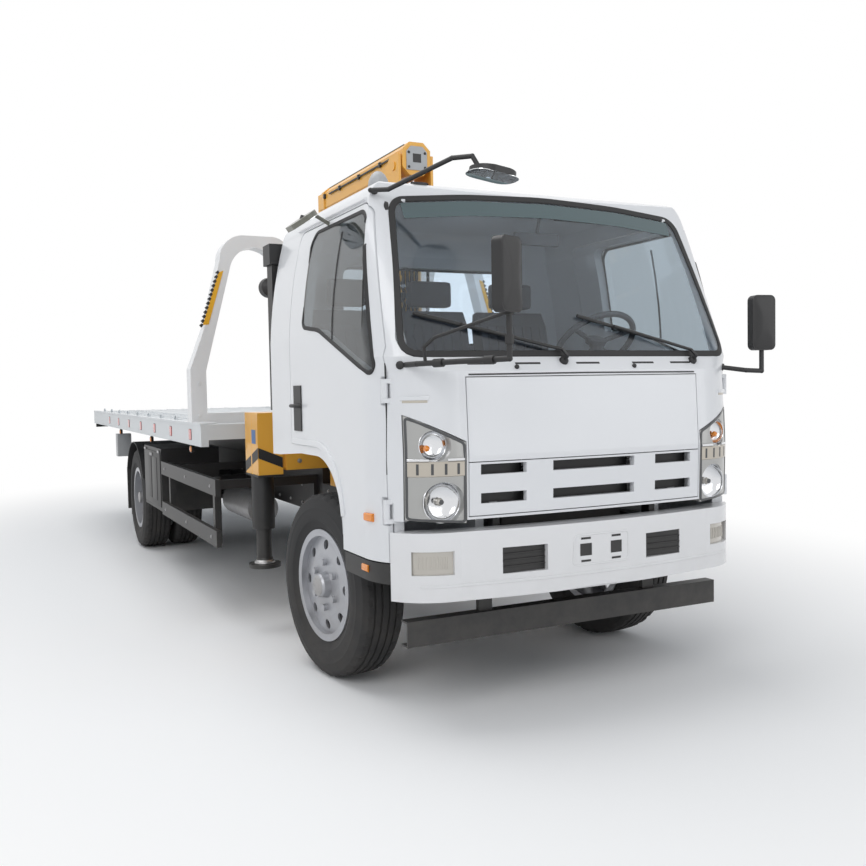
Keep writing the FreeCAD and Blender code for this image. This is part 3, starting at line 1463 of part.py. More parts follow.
def make_bed_fittings():
    """Side markers, warning panels on the headboard and the winch."""
    markers = []
    for name, side in SIDES:
        for number in range(7):
            x = S.bed_front - 280 - 652 * number
            markers.append(block((x, x - 62), (side * (S.bed_half + S.seat_gap), side * (S.bed_half + 4)),
                                 (S.deck_top - 100, S.deck_top - 36)))
    deliver("side_markers", grouped(*markers))
    x = S.headboard_front - S.headboard_thick - 120
    drum = rod("y", (x - 90, 1330), (-170, 170), 62)
    flanges = [rod("y", (x - 90, 1330), (side * 170, side * 184), 105) for name, side in SIDES]
    cheeks = [block((x - 190, x + 10), (side * 184, side * 214), (S.deck_top + S.seat_gap, 1430))
              for name, side in SIDES]
    motor = rod("y", (x - 90, 1330), (214, 330), 55)
    base = block((x - 190, x + 10), (-214, 214), (S.deck_top + S.seat_gap, S.deck_top + 14))
    deliver("winch", fused(drum, *flanges, *cheeks, motor, base))


def make_underlift():
    """Stowed lift arm under the tail with its cross bar."""
    pivot = (S.underlift_pivot_x, S.underlift_pivot_z)
    z = S.underlift_pivot_z
    arm = block((S.underlift_rear + 90, S.underlift_pivot_x), (-80, 80), (z - 60, z + 40))
    eye = rod("y", pivot, (-84, 84), 56)
    bar = block((S.underlift_rear, S.underlift_rear + 100), (-560, 560), (z - 70, z + 30))
    bore = rod("y", pivot, (-130, 130), 24 + S.running_gap)
    sockets = [rod("z", (S.underlift_rear + 50, side * 480), (z - 80, z + 40), S.fork_socket_radius)
               for name, side in SIDES]
    deliver("underlift", cut(fused(arm, eye, bar), bore, *sockets))


# cab equipment

def make_cab_equipment(outer):
    """Seats, dashboard, steering wheel, mirrors, wipers and intake duct."""
    floor = S.arch_top_z + S.tunnel_wall
    seats = []
    for y in (470, -60, -520):
        half = 220
        low = floor + S.seat_gap
        seats.append(fused(
            prism("XZ", [(-320, low), (180, low), (200, low + 130), (150, low + 170), (-300, low + 150)],
                  (y - half, y + half)),
            prism("XZ", [(-400, low), (-250, low), (-300, low + 150), (-390, low + 620), (-440, low + 700),
                         (-490, low + 690), (-500, low + 600)], (y - half, y + half))))
    deliver("seats", grouped(*seats))
    back = S.firewall_x - S.seat_gap
    dash = prism("XZ", [(760, 1180), (back, 1180), (back, 1470), (700, 1468), (640, 1400), (650, 1300)],
                 (-840, 840))
    dash = common(dash, cab_form(S.cab_wall + S.seat_gap))
    foot = (as_size(700), as_size(1330))
    hub = (S.wheel_hub_x, S.wheel_hub_z)
    column = slanted_rod(foot, hub, 32, S.wheel_y)
    lean = math.degrees(math.atan2((hub[0] - foot[0]).value, (hub[1] - foot[1]).value))
    rim = document.addObject("Part::Torus", "WheelRim")
    rim.Radius1 = 205
    rim.Radius2 = 15
    rim.Placement = Placement(Vector(), Rotation(Vector(0, 1, 0), lean))
    bind(rim, "Placement.Base.x", hub[0])
    bind(rim, "Placement.Base.y", S.wheel_y)
    bind(rim, "Placement.Base.z", hub[1])
    normal = Vector(math.sin(math.radians(lean)), 0, math.cos(math.radians(lean)))
    middle = Vector(hub[0].value, S.wheel_y.value, hub[1].value)
    spokes = []
    for angle in (90, 210, 330):
        across = Vector(0, 1, 0) * math.cos(math.radians(angle))
        across += normal.cross(Vector(0, 1, 0)) * math.sin(math.radians(angle))
        spokes.append(bent_tube([tuple(middle), tuple(middle + across * 205)], 12))
    deliver("dashboard", fused(dash, column, rim, *spokes))
    make_mirrors(outer)
    make_wipers()
    make_snorkel()


def glass_x(y, z):
    """X of the windscreen's outer face at a place on it."""
    share = (z - S.screen_base_z.value) / (S.screen_over_z - S.screen_base_z).value
    front = S.screen_base_x.value + share * (S.screen_top_x - S.screen_base_x).value
    flat = (S.cab_half - S.screen_corner).value
    return front - S.cab_bow.value * (y / flat) ** 2


def cowl_x(y, z):
    """X of the cab's face under the windscreen at a place on it."""
    share = (z - S.belt_z.value) / (S.screen_base_z - S.belt_z).value
    front = S.cab_front_belt.value + share * (S.screen_base_x - S.cab_front_belt).value
    flat = (S.cab_half - S.cab_corner).value
    return front - S.cab_bow.value * (y / flat) ** 2


def mirror_head(x, y, z, across, tall, thick, turn):
    """A mirror housing with rounded corners, standing at x, y, z and turned about Z."""
    half = across / 2
    high = tall / 2
    corner = 26
    points = [
        (half - corner, -high), (half, -high + corner, corner), (half, high - corner),
        (half - corner, high, corner), (-half + corner, high), (-half, high - corner, corner),
        (-half, -high + corner), (-half + corner, -high, corner),
    ]
    head = prism("YZ", points, (-thick / 2, thick / 2))
    head.Placement = Placement(Vector(), Rotation(Vector(0, 0, 1), turn))
    bind(head, "Placement.Base.x", x)
    bind(head, "Placement.Base.y", y)
    bind(head, "Placement.Base.z", z)
    return head


def mirror_dish(x, y, z, length, wide, thick, turn, tilt):
    """A flat mirror shell with round ends, turned about Z and then tilted about X."""
    half = wide / 2
    run = length / 2 - half
    dish = prism("XY", [(run, -half), (run, half, half * 1.02), (-run, half), (-run, -half, half * 1.02)],
                 (-thick / 2, thick / 2))
    spin = Rotation(Vector(1, 0, 0), tilt).multiply(Rotation(Vector(0, 0, 1), turn))
    dish.Placement = Placement(Vector(), spin)
    bind(dish, "Placement.Base.x", x)
    bind(dish, "Placement.Base.y", y)
    bind(dish, "Placement.Base.z", z)
    return dish


def make_mirrors(outer):
    """Main mirrors on their arms, the mirror over the windscreen and the one on the right door."""
    x = S.mirror_post_x
    y = -S.mirror_post_y
    right = fused(
        cut(bent_tube([(900, -830, 1490), (1000, -815, 1492), (x, y, 1498), (x, y, 1700)], 11), outer),
        bent_tube([(1040, -797, 1493), (1050, -806, 1555), (1090, -780, 1590), (x, y, 1668)], 7),
        mirror_head(x, y - 6, 1800, 125, 272, 46, 24))
    x = S.side_mirror_x
    y = S.side_mirror_y
    left = fused(
        cut(bent_tube([(905, 830, 1470), (980, 925, 1452), (x, y, 1448), (x, y, 1620)], 11), outer),
        mirror_head(x, y, 1676, 120, 260, 46, -12))
    over = fused(
        cut(bent_tube([(612, -800, 2225), (642, -846, 2232), (700, -790, 2228), (900, -591, 2330),
                       (960, -530, 2330), (985, -500, 2262)], 10), outer),
        mirror_dish(1000, -460, 2258, 225, 160, 24, 90, -8))
    deliver("mirrors", grouped(right, left, over))
    kerb = fused(cut(bent_tube([(140, -840, 2168), (140, -930, 2215), (140, -975, 2185)], 9), outer),
                 mirror_dish(140, -985, 2178, 220, 140, 24, 0, 35))
    deliver("kerb_mirror", kerb)


def make_wipers():
    """Two wipers lying low across the windscreen, each an arm with its blade."""
    wipers = []
    for pivot_y, tip_y in ((-120, -770), (600, 10)):
        rise = 150
        spots = []
        for share in (0.0, 0.35, 0.7, 1.0):
            y = pivot_y + (tip_y - pivot_y) * share
            z = 1550 + rise * share
            spots.append((glass_x(y, z) + 22, y, z))
        root = cowl_x(pivot_y, 1500)
        arm = bent_tube([(root + 6, pivot_y, 1500), (root + 32, pivot_y, 1522), spots[0], spots[2]], 7)
        blade = [(glass_x(y, z) + 10.5, y, z) for x, y, z in spots[1:]]
        wipers.append(fused(arm, bent_tube(blade, 8)))
    deliver("wipers", grouped(*wipers))


def make_snorkel():
    """Air intake duct behind the right-hand side of the cab."""
    back = S.cab_back - S.seat_gap
    duct = block((back - 130, back - 40), (-900, -815), (1290, 2080))
    head = block((back - 150, back - 25), (-915, -800), (2080, 2190))
    stays = [block((back - 45, back), (-880, -835), (z, z + 40)) for z in (1420, 1960)]
    deliver("snorkel", fused(duct, head, *stays))


def finish():
    """Check every object, then write each sub-part to its own file."""
    document.recompute()
    faults = []
    for item in document.Objects:
        if "Invalid" in item.State or "Error" in item.State:
            faults.append("%s (%s) is %s" % (item.Name, item.Label, item.State))
    for item in delivered:
        shape = item.Shape
        if shape.isNull() or not shape.isValid() or not shape.Solids:
            faults.append("%s has no valid solid" % item.Label)
    if faults:
        raise RuntimeError("; ".join(faults[:20]))
    os.makedirs("parts", exist_ok=True)
    whole = FreeCAD.BoundBox()
    for item in delivered:
        item.Shape.exportStep(os.path.join("parts", item.Label + ".step"))
        whole.add(item.Shape.BoundBox)
    print("sub-parts:", len(delivered))
    print("box x %.1f to %.1f, y %.1f to %.1f, z %.1f to %.1f"
          % (whole.XMin, whole.XMax, whole.YMin, whole.YMax, whole.ZMin, whole.ZMax))


make_frame()
make_front_axle()
make_knuckles()
make_front_wheels()
make_rear_axle()
make_rear_wheels()
make_springs()
make_powertrain()
make_bumper()
make_underrun()
make_side_equipment()
cab_outer = make_cab()
make_crane_base()
make_column()
make_boom()
make_cylinder("luff", (S.luff_foot_x, S.luff_foot_z), (S.luff_eye_x, S.luff_eye_z), [as_size(0)],
              S.luff_barrel_radius, S.luff_rod_radius, as_size(20), 34)
make_outriggers()
make_tilt_frame()
make_cylinder("tilt", (S.tilt_foot_x, S.tilt_foot_z), (S.tilt_eye_x, S.tilt_eye_z),
              [S.tilt_cylinder_y, -S.tilt_cylinder_y], S.tilt_barrel_radius, S.tilt_rod_radius, as_size(22), 40)
make_bed()
make_headboard()
make_bed_fittings()
make_underlift()
make_cab_equipment(cab_outer)
finish()
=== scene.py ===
"""Looks of the flatbed tow truck: finishes for the solids, and the small pieces that ride on them."""
import math

import bmesh
import bpy
from mathutils import Matrix, Vector
from mathutils.bvhtree import BVHTree


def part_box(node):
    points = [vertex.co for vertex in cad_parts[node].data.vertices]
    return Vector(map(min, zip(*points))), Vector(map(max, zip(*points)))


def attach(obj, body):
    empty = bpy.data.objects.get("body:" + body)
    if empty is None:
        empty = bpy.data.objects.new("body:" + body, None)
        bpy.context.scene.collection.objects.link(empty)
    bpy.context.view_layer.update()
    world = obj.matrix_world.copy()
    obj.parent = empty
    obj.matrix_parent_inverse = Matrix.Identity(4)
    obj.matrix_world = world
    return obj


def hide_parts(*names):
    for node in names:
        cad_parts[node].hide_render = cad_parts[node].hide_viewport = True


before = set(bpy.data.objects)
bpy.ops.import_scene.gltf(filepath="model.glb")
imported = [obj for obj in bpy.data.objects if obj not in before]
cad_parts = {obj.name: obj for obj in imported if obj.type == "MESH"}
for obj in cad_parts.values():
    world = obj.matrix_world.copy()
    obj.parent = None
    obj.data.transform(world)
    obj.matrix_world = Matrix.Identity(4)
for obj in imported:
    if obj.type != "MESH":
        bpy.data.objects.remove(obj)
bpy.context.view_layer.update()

# Positions below are in metres from the front axle, as on a truck drawing: x forward, y left, z up.
FRONT_AXLE = 2.7398
REAR_AXLE = -4.490
WHEEL_HEIGHT = 0.447

FORWARD, BACKWARD, UP = (1, 0, 0), (-1, 0, 0), (0, 0, 1)
SIDES = (("left", 1), ("right", -1))
BOTH = (1, -1)


def at(x, y, z):
    """A point given from the front axle, in the frame of the part."""
    return Vector((x + FRONT_AXLE, y, z))


# ---------------------------------------------------------------- shader groups


def feed(tree, socket, source):
    """Link a socket to another one, or give it a plain value."""
    if isinstance(source, bpy.types.NodeSocket):
        tree.links.new(source, socket)
    else:
        socket.default_value = source


def group_with(name, inputs, outputs):
    """An empty shader node group with number sockets; the inputs have their first values."""
    tree = bpy.data.node_groups.new(name, "ShaderNodeTree")
    for label, value in inputs.items():
        tree.interface.new_socket(label, in_out="INPUT", socket_type="NodeSocketFloat").default_value = value
    for label in outputs:
        tree.interface.new_socket(label, in_out="OUTPUT", socket_type="NodeSocketFloat")
    return tree, tree.nodes.new("NodeGroupInput"), tree.nodes.new("NodeGroupOutput")


def placed_group(tree, group, **values):
    """A shared group placed in a material with its own values."""
    made = tree.nodes.new("ShaderNodeGroup")
    made.node_tree = group
    for label, value in values.items():
        made.inputs[label].default_value = value
    return made


def shader_node(tree, kind, **settings):
    """A node of that kind, with plain settings, and input values given by socket name with spaces as __."""
    made = tree.nodes.new("ShaderNode" + kind)
    for key, value in settings.items():
        if key.startswith("in_"):
            made.inputs[key[3:].replace("__", " ")].default_value = value
        else:
            setattr(made, key, value)
    return made


def math_node(tree, operation, *sources, clamp=False):
    """A Math node fed by sockets or numbers; returns its output."""
    made = shader_node(tree, "Math", operation=operation, use_clamp=clamp)
    for socket, source in zip(made.inputs, sources):
        feed(tree, socket, source)
    return made.outputs[0]


def mix_node(tree, first, second, factor, blend="MIX"):
    """A Mix node for two colours, fed by sockets or values; returns its result."""
    made = shader_node(tree, "Mix", data_type="RGBA", blend_type=blend)
    for label, source in (("Factor", factor), ("A", first), ("B", second)):
        feed(tree, made.inputs[label], source)
    return made.outputs["Result"]


def build_road_film():
    """Mask of dust and road film: strong near the ground, broken up by noise."""
    contrast, floor = 2.2, -0.55
    inputs = {"Low": 0.3, "High": 1.2, "Amount": 0.5, "Scale": 9.0}
    tree, inside, out = group_with("RoadFilm", inputs, ["Mask"])
    place = shader_node(tree, "NewGeometry")
    split = shader_node(tree, "SeparateXYZ")
    tree.links.new(place.outputs["Position"], split.inputs[0])
    reach = shader_node(tree, "MapRange", in_To__Min=1.0, in_To__Max=0.0)
    tree.links.new(split.outputs["Z"], reach.inputs["Value"])
    tree.links.new(inside.outputs["Low"], reach.inputs["From Min"])
    tree.links.new(inside.outputs["High"], reach.inputs["From Max"])
    coords = shader_node(tree, "TexCoord")
    cloud = shader_node(tree, "TexNoise", in_Detail=6.0, in_Roughness=0.62)
    tree.links.new(coords.outputs["Object"], cloud.inputs["Vector"])
    tree.links.new(inside.outputs["Scale"], cloud.inputs["Scale"])
    broken = math_node(tree, "MULTIPLY_ADD", cloud.outputs["Fac"], contrast, floor)
    both = math_node(tree, "MULTIPLY", reach.outputs[0], broken, clamp=True)
    mask = math_node(tree, "MULTIPLY", both, inside.outputs["Amount"], clamp=True)
    tree.links.new(mask, out.inputs["Mask"])
    return tree


def build_mottle():
    """Slow variation of a finish, about 1, and a fine height for bumps."""
    inputs = {"Scale": 3.0, "Spread": 0.06, "Grain": 300.0}
    tree, inside, out = group_with("Mottle", inputs, ["Shade", "Height"])
    coords = shader_node(tree, "TexCoord")
    slow = shader_node(tree, "TexNoise", in_Detail=4.0, in_Roughness=0.55)
    fine = shader_node(tree, "TexNoise", in_Detail=2.0, in_Roughness=0.5)
    for noise, scale in ((slow, "Scale"), (fine, "Grain")):
        tree.links.new(coords.outputs["Object"], noise.inputs["Vector"])
        tree.links.new(inside.outputs[scale], noise.inputs["Scale"])
    centred = math_node(tree, "SUBTRACT", slow.outputs["Fac"], 0.5)
    spread = math_node(tree, "MULTIPLY", centred, inside.outputs["Spread"])
    tree.links.new(math_node(tree, "ADD", spread, 1.0), out.inputs["Shade"])
    tree.links.new(fine.outputs["Fac"], out.inputs["Height"])
    return tree


ROAD_FILM = build_road_film()
MOTTLE = build_mottle()
DUST = (0.30, 0.27, 0.23, 1.0)
TYRE_DUST = (0.10, 0.09, 0.08, 1.0)


def new_finish(name):
    """A fresh material; gives it with its node tree and its main shader."""
    made = bpy.data.materials.new(name)
    made.use_nodes = True
    return made, made.node_tree, made.node_tree.nodes["Principled BSDF"]


def finish_of(name, colour, roughness, metallic=0.0, coat=0.0, film=0.3, film_high=1.1, spread=0.08,
              scale=3.0, grain=300.0, bump=0.0, dust=DUST):
    """An opaque finish: a base colour that varies slowly, road film low down and a fine grain."""
    duller = 0.35  # how much rougher the film makes it
    made, tree, skin = new_finish(name)
    skin.inputs["Metallic"].default_value = metallic
    skin.inputs["Coat Weight"].default_value = coat
    mottle = placed_group(tree, MOTTLE, Scale=scale, Spread=spread, Grain=grain)
    shade = mix_node(tree, (*colour, 1.0), mottle.outputs["Shade"], 1.0, "MULTIPLY")
    dirt = placed_group(tree, ROAD_FILM, Amount=film, High=film_high).outputs["Mask"]
    tree.links.new(mix_node(tree, shade, dust, dirt), skin.inputs["Base Color"])
    dull = shader_node(tree, "MapRange", in_To__Min=roughness, in_To__Max=min(1.0, roughness + duller))
    tree.links.new(dirt, dull.inputs["Value"])
    tree.links.new(dull.outputs[0], skin.inputs["Roughness"])
    if bump:
        relief = shader_node(tree, "Bump", in_Strength=bump, in_Distance=0.001)
        tree.links.new(mottle.outputs["Height"], relief.inputs["Height"])
        tree.links.new(relief.outputs["Normal"], skin.inputs["Normal"])
    return made


def glass_finish(name, colour):
    """Clear glass, tinted through."""
    made, tree, skin = new_finish(name)
    skin.inputs["Transmission Weight"].default_value = 1.0
    skin.inputs["IOR"].default_value = 1.45
    skin.inputs["Roughness"].default_value = 0.02
    mottle = placed_group(tree, MOTTLE, Scale=1.5, Spread=0.05)
    shade = mix_node(tree, (*colour, 1.0), mottle.outputs["Shade"], 1.0, "MULTIPLY")
    tree.links.new(shade, skin.inputs["Base Color"])
    return made


CAB_WHITE = finish_of("cab_white", (0.76, 0.77, 0.79), 0.28, coat=0.45, film=0.10, film_high=0.9, spread=0.03)
BUMPER_WHITE = finish_of("bumper_white", (0.77, 0.77, 0.78), 0.34, coat=0.5, film=0.18, film_high=0.8,
                         spread=0.04)
BOARD_WHITE = finish_of("board_white", (0.76, 0.77, 0.78), 0.34, coat=0.4, film=0.08, film_high=1.4,
                        spread=0.04)
BED_GREY = finish_of("bed_grey", (0.62, 0.65, 0.67), 0.40, coat=0.2, film=0.25, film_high=1.15)
CHASSIS_BLACK = finish_of("chassis_black", (0.016, 0.016, 0.017), 0.45, film=0.14, film_high=0.9, spread=0.4,
                          grain=120.0, bump=0.15)
PLASTIC_BLACK = finish_of("plastic_black", (0.016, 0.016, 0.017), 0.48, film=0.12, film_high=0.9, grain=700.0,
                          bump=0.12)
RUBBER = finish_of("rubber", (0.014, 0.014, 0.015), 0.62, film=0.15, film_high=1.0, spread=0.3, grain=400.0,
                   bump=0.1)
TYRE_BLACK = finish_of("tyre_black", (0.020, 0.020, 0.021), 0.78, film=0.35, film_high=0.6, spread=0.3,
                       grain=500.0, bump=0.2, dust=TYRE_DUST)
WHEEL_SILVER = finish_of("wheel_silver", (0.43, 0.44, 0.47), 0.32, metallic=0.55, film_high=0.75, spread=0.15,
                         scale=14.0)
CRANE_ORANGE = finish_of("crane_orange", (0.80, 0.40, 0.045), 0.38, coat=0.3, film=0.15, spread=0.12)
CHROME = finish_of("polished_chrome", (0.80, 0.81, 0.82), 0.08, metallic=1.0, film=0.05, spread=0.05)
BARE_STEEL = finish_of("bare_steel", (0.42, 0.42, 0.43), 0.38, metallic=0.9, film=0.4, spread=0.35,
                       scale=20.0)
ROPE_STEEL = finish_of("rope_steel", (0.30, 0.30, 0.31), 0.45, metallic=0.8, film=0.2, spread=0.5,
                       scale=150.0, grain=800.0, bump=0.5)
CAST_IRON = finish_of("cast_iron", (0.05, 0.05, 0.052), 0.6, metallic=0.3, film=0.4, grain=200.0, bump=0.3)
TANK_METAL = finish_of("tank_metal", (0.48, 0.49, 0.50), 0.3, metallic=0.85, film=0.35, film_high=0.9,
                       spread=0.2)
TAIL_GREY = finish_of("tail_grey", (0.42, 0.43, 0.44), 0.4, film_high=1.0)
SEAT_CLOTH = finish_of("seat_cloth", (0.10, 0.105, 0.12), 0.85, film=0.0, spread=0.25, scale=60.0,
                       grain=900.0, bump=0.35)
DASH_GREY = finish_of("dash_grey", (0.07, 0.07, 0.075), 0.6, film=0.0, grain=600.0, bump=0.2)
CLEAR_GLASS = glass_finish("clear_glass", (0.82, 0.90, 0.97))
SIDE_GLASS = glass_finish("side_glass", (0.36, 0.40, 0.42))
TEAL_BAND = finish_of("teal_band", (0.040, 0.085, 0.095), 0.12, coat=0.8, film=0.0, spread=0.1)
MIRROR_FACE = finish_of("mirror_face", (0.80, 0.82, 0.83), 0.03, metallic=1.0, film=0.0, spread=0.02)
MIRROR_OLIVE = finish_of("mirror_olive", (0.16, 0.16, 0.13), 0.35, coat=0.3, film=0.05, spread=0.1)
LENS_PALE = finish_of("lens_pale", (0.50, 0.475, 0.43), 0.12, metallic=0.35, coat=0.8, film=0.08, spread=0.10)
LAMP_GREY = finish_of("lamp_grey", (0.40, 0.40, 0.39), 0.30, metallic=0.35, coat=0.4, film=0.10, spread=0.1)
LAMP_DARK = finish_of("lamp_dark", (0.055, 0.058, 0.062), 0.30, coat=0.4, film=0.10, spread=0.1)
REFLECTOR = finish_of("lamp_reflector", (0.72, 0.73, 0.75), 0.12, metallic=1.0, film=0.05, spread=0.1)
BEIGE_TRIM = finish_of("beige_trim", (0.50, 0.46, 0.40), 0.28, metallic=0.6, film=0.1)
AMBER = finish_of("amber_lens", (0.85, 0.26, 0.01), 0.18, coat=0.6, film=0.08)
LENS_RED = finish_of("red_lens", (0.50, 0.012, 0.010), 0.18, coat=0.6, film=0.12)
MARKER_RED = finish_of("marker_red", (0.62, 0.02, 0.015), 0.22, coat=0.6, film=0.1, film_high=1.2)
PANEL_AMBER = finish_of("amber_panel", (0.80, 0.42, 0.02), 0.35, film=0.05, spread=0.1, scale=30.0)
PATCH_BLUE = finish_of("patch_blue", (0.06, 0.16, 0.38), 0.35, film=0.05, spread=0.1)

SOLIDS_BY_FINISH = (
    (CHASSIS_BLACK, "frame front_axle rear_axle leaf_springs underrun_bar tool_boxes side_guards"
                    " jack_leg_left jack_leg_right tilt_frame tilt_barrel winch underlift"),
    (CAST_IRON, "powertrain"),
    (BARE_STEEL, "exhaust knuckle_left knuckle_right"),
    (TANK_METAL, "fuel_tank"),
    (BUMPER_WHITE, "front_bumper"),
    (LENS_PALE, "fog_lamps"),
    (PLASTIC_BLACK, "rear_fenders mirrors wipers snorkel cab_sills"),
    (TAIL_GREY, "tail_lamps"),
    (CRANE_ORANGE, "crane_base crane_column boom_base boom_inner luff_barrel outrigger_left outrigger_right"),
    (TYRE_BLACK, "tyre_front_left tyre_front_right tyres_rear_left tyres_rear_right"),
    (WHEEL_SILVER, "rim_front_left rim_front_right rims_rear_left rims_rear_right"),
    (CAB_WHITE, "cab_shell front_lid grille door_left door_right"),
    (CLEAR_GLASS, "cab_glass"),
    (SIDE_GLASS, "window_left window_right"),
    (LAMP_GREY, "headlamps"),
    (SEAT_CLOTH, "seats"),
    (DASH_GREY, "dashboard"),
    (MIRROR_OLIVE, "kerb_mirror"),
    (CHROME, "luff_rod tilt_rod"),
    (BED_GREY, "bed_deck"),
    (BOARD_WHITE, "headboard"),
    (MARKER_RED, "side_markers"),
)


def dress_solids():
    """Give each solid its finish."""
    for finish, names in SOLIDS_BY_FINISH:
        for name in names.split():
            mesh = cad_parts[name].data
            mesh.materials.clear()
            mesh.materials.append(finish)


# ---------------------------------------------------------------- shapes

# Bolt heads, each as half its width and its height.
CAP_BOLT, PLATE_BOLT, PANEL_BOLT, RAIL_BOLT = (0.006, 0.003), (0.006, 0.005), (0.009, 0.006), (0.009, 0.008)
CRANE_BOLT, RING_BOLT, BASE_BOLT = (0.010, 0.008), (0.010, 0.009), (0.011, 0.010)
LAY = {"x": lambda a, b, c: (c, a, b), "y": lambda a, b, c: (a, c, b), "z": lambda a, b, c: (a, b, c)}


def millimetres(*span):
    """The whole numbers of a range, read as millimetres, in metres."""
    return [number / 1000 for number in range(*span)]


def row(start, gap, count):
    """Evenly spaced numbers."""
    return [start + gap * number for number in range(count)]


def circle(radius, count):
    """Points of a circle about zero."""
    angles = [math.tau * number / count for number in range(count)]
    return [(radius * math.cos(angle), radius * math.sin(angle)) for angle in angles]


def box_outline(low, high, wide_low, wide_high):
    """Corners of a flat box from low to high one way and from wide_low to wide_high the other."""
    return [(low, wide_low), (high, wide_low), (high, wide_high), (low, wide_high)]


def rounded(corners, radius, closed=True, step=0.07):
    """A flat path through corners, each rounded off, in steps short enough to follow a bent skin."""
    spots = [Vector(corner) for corner in corners]
    count = len(spots)
    path = []
    for index, spot in enumerate(spots):
        if not closed and index in (0, count - 1):
            turn = [spot]
        else:
            sides = [spots[index - 1] - spot, spots[(index + 1) % count] - spot]
            reach = min([radius] + [side.length * 0.45 for side in sides])
            first, last = [spot + side.normalized() * reach for side in sides]
            turn = [first.lerp(spot, t).lerp(spot.lerp(last, t), t) for t in (0, 0.2, 0.4, 0.6, 0.8, 1)]
        if path:
            run = turn[0] - path[-1]
            while run.length >= step:
                path.append(path[-1] + run.normalized() * min(step, run.length * 0.5))
                run = turn[0] - path[-1]
        path.extend(turn)
    return path


def smooth_path(points, pieces):
    """Points of a curve that passes softly through the given ones."""
    spots = [Vector(point) for point in points]
    spots = [spots[0] * 2 - spots[1]] + spots + [spots[-1] * 2 - spots[-2]]
    path = []
    for a, b, c, d in zip(spots, spots[1:], spots[2:], spots[3:]):
        for number in range(pieces):
            t = number / pieces
            path.append(0.5 * (b * 2 + (c - a) * t + (a * 2 - b * 5 + c * 4 - d) * t * t
                               + (b * 3 - a - c * 3 + d) * t * t * t))
    return path + [spots[-2]]


def strip(width, low, high):
    """Section of a flat strip with eased edges."""
    half = width / 2
    ease = min(half * 0.3, (high - low) * 0.5)
    return [(-half, low), (half, low), (half, high - ease), (half - ease, high), (-half + ease, high),
            (-half, high - ease)]


class Shape:
    """Gathers the faces of one piece, drawn in metres from the front axle."""

    def __init__(self):
        self.mesh = bmesh.new()

    def ring(self, points):
        return [self.mesh.verts.new(point) for point in points]

    def bridge(self, first, second):
        """Join two rings of the same count."""
        count = len(first)
        for index in range(count):
            follow = (index + 1) % count
            self.mesh.faces.new((first[index], first[follow], second[follow], second[index]))

    def stack(self, rings, capped=True):
        """Join rings one to the next, and close both ends or the whole round."""
        for first, second in zip(rings, rings[1:] if capped else rings[1:] + rings[:1]):
            self.bridge(first, second)
        if capped:
            for ring in (rings[0], rings[-1]):
                self.mesh.faces.new(ring)

    def prism(self, axis, outline, low, high, bevel=0.0):
        """A flat outline carried along one axis from low to high."""
        old = set(self.mesh.edges)
        self.stack([self.ring([at(*LAY[axis](a, b, level)) for a, b in outline]) for level in (low, high)])
        if bevel:
            edges = [edge for edge in self.mesh.edges if edge not in old]
            bmesh.ops.bevel(self.mesh, geom=edges, offset=bevel, segments=2, affect="EDGES", profile=0.6,
                            clamp_overlap=True)

    def block(self, x, y, z, bevel=0.003):
        self.prism("z", box_outline(*x, *y), *z, bevel)

    def turn(self, centre, axis, profile, steps=24, begin=0.0):
        """A profile of (along, radius) turned about an axis through centre."""
        centre = at(*centre)
        axis = Vector(axis).normalized()
        side = axis.orthogonal().normalized()
        other = axis.cross(side)
        angles = [begin + math.tau * number / steps for number in range(steps)]
        self.stack([self.ring([centre + axis * along + (side * math.cos(a) + other * math.sin(a)) * radius
                               for a in angles]) for along, radius in profile])

    def bolt(self, centre, axis, size, high):
        """A six-sided bolt head on a washer."""
        washer = 0.0018
        self.turn(centre, axis, ((0, size * 1.35), (washer, size * 1.35)), 14)
        self.turn(centre, axis, ((washer, size), (high * 0.85, size), (high, size * 0.86)), 6)

    def sweep(self, path, normals, section, closed=False):
        """A flat section of (across, out) carried along a path."""
        rings = []
        count = len(path)
        for index in range(count):
            before = path[index - 1] if closed or index else path[index]
            after = path[(index + 1) % count] if closed or index < count - 1 else path[index]
            across = (after - before).cross(normals[index]).normalized()
            rings.append(self.ring([path[index] + across * a + normals[index] * b for a, b in section]))
        self.stack(rings, not closed)

    def lay(self, landed, width, low, high, closed=False):
        """A strip laid along a path on a skin, from low to high above it."""
        self.sweep(*landed, strip(width, low, high), closed)

    def tube(self, points, radius, steps=10, pieces=6):
        """A round tube softly curved through points."""
        path = smooth_path([at(*point) for point in points], pieces)
        normals = []
        normal = (path[1] - path[0]).orthogonal().normalized()
        for index in range(len(path)):
            along = (path[min(index + 1, len(path) - 1)] - path[max(index - 1, 0)]).normalized()
            normal = (normal - along * normal.dot(along)).normalized()
            normals.append(normal)
        self.sweep(path, normals, circle(radius, steps))

    def done(self, name, body, finish, slot, sharp=32):
        """Make the object, shade it, and let it ride on a body."""
        bmesh.ops.recalc_face_normals(self.mesh, faces=self.mesh.faces)
        data = bpy.data.meshes.new(name)
        self.mesh.to_mesh(data)
        self.mesh.free()
        data.shade_smooth()
        data.set_sharp_from_angle(angle=math.radians(sharp))
        made = bpy.data.objects.new(name, data)
        bpy.context.scene.collection.objects.link(made)
        data.materials.append(finish)
        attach(made, body)
        return made


def skin_of(*nodes):
    """A search tree of the outer faces of some solids."""
    places, faces = [], []
    for name in nodes:
        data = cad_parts[name].data
        start = len(places)
        places.extend(vertex.co.copy() for vertex in data.vertices)
        faces.extend([start + index for index in face.vertices] for face in data.polygons)
    return BVHTree.FromPolygons(places, faces)


CAB_SKIN = skin_of("cab_shell", "cab_glass", "door_left", "door_right", "window_left", "window_right",
                   "front_lid", "grille", "headlamps")
BUMPER_SKIN = skin_of("front_bumper")
OUTSIDE = 1.3  # a throw at a skin starts this far in front of the axle, or this far out to a side


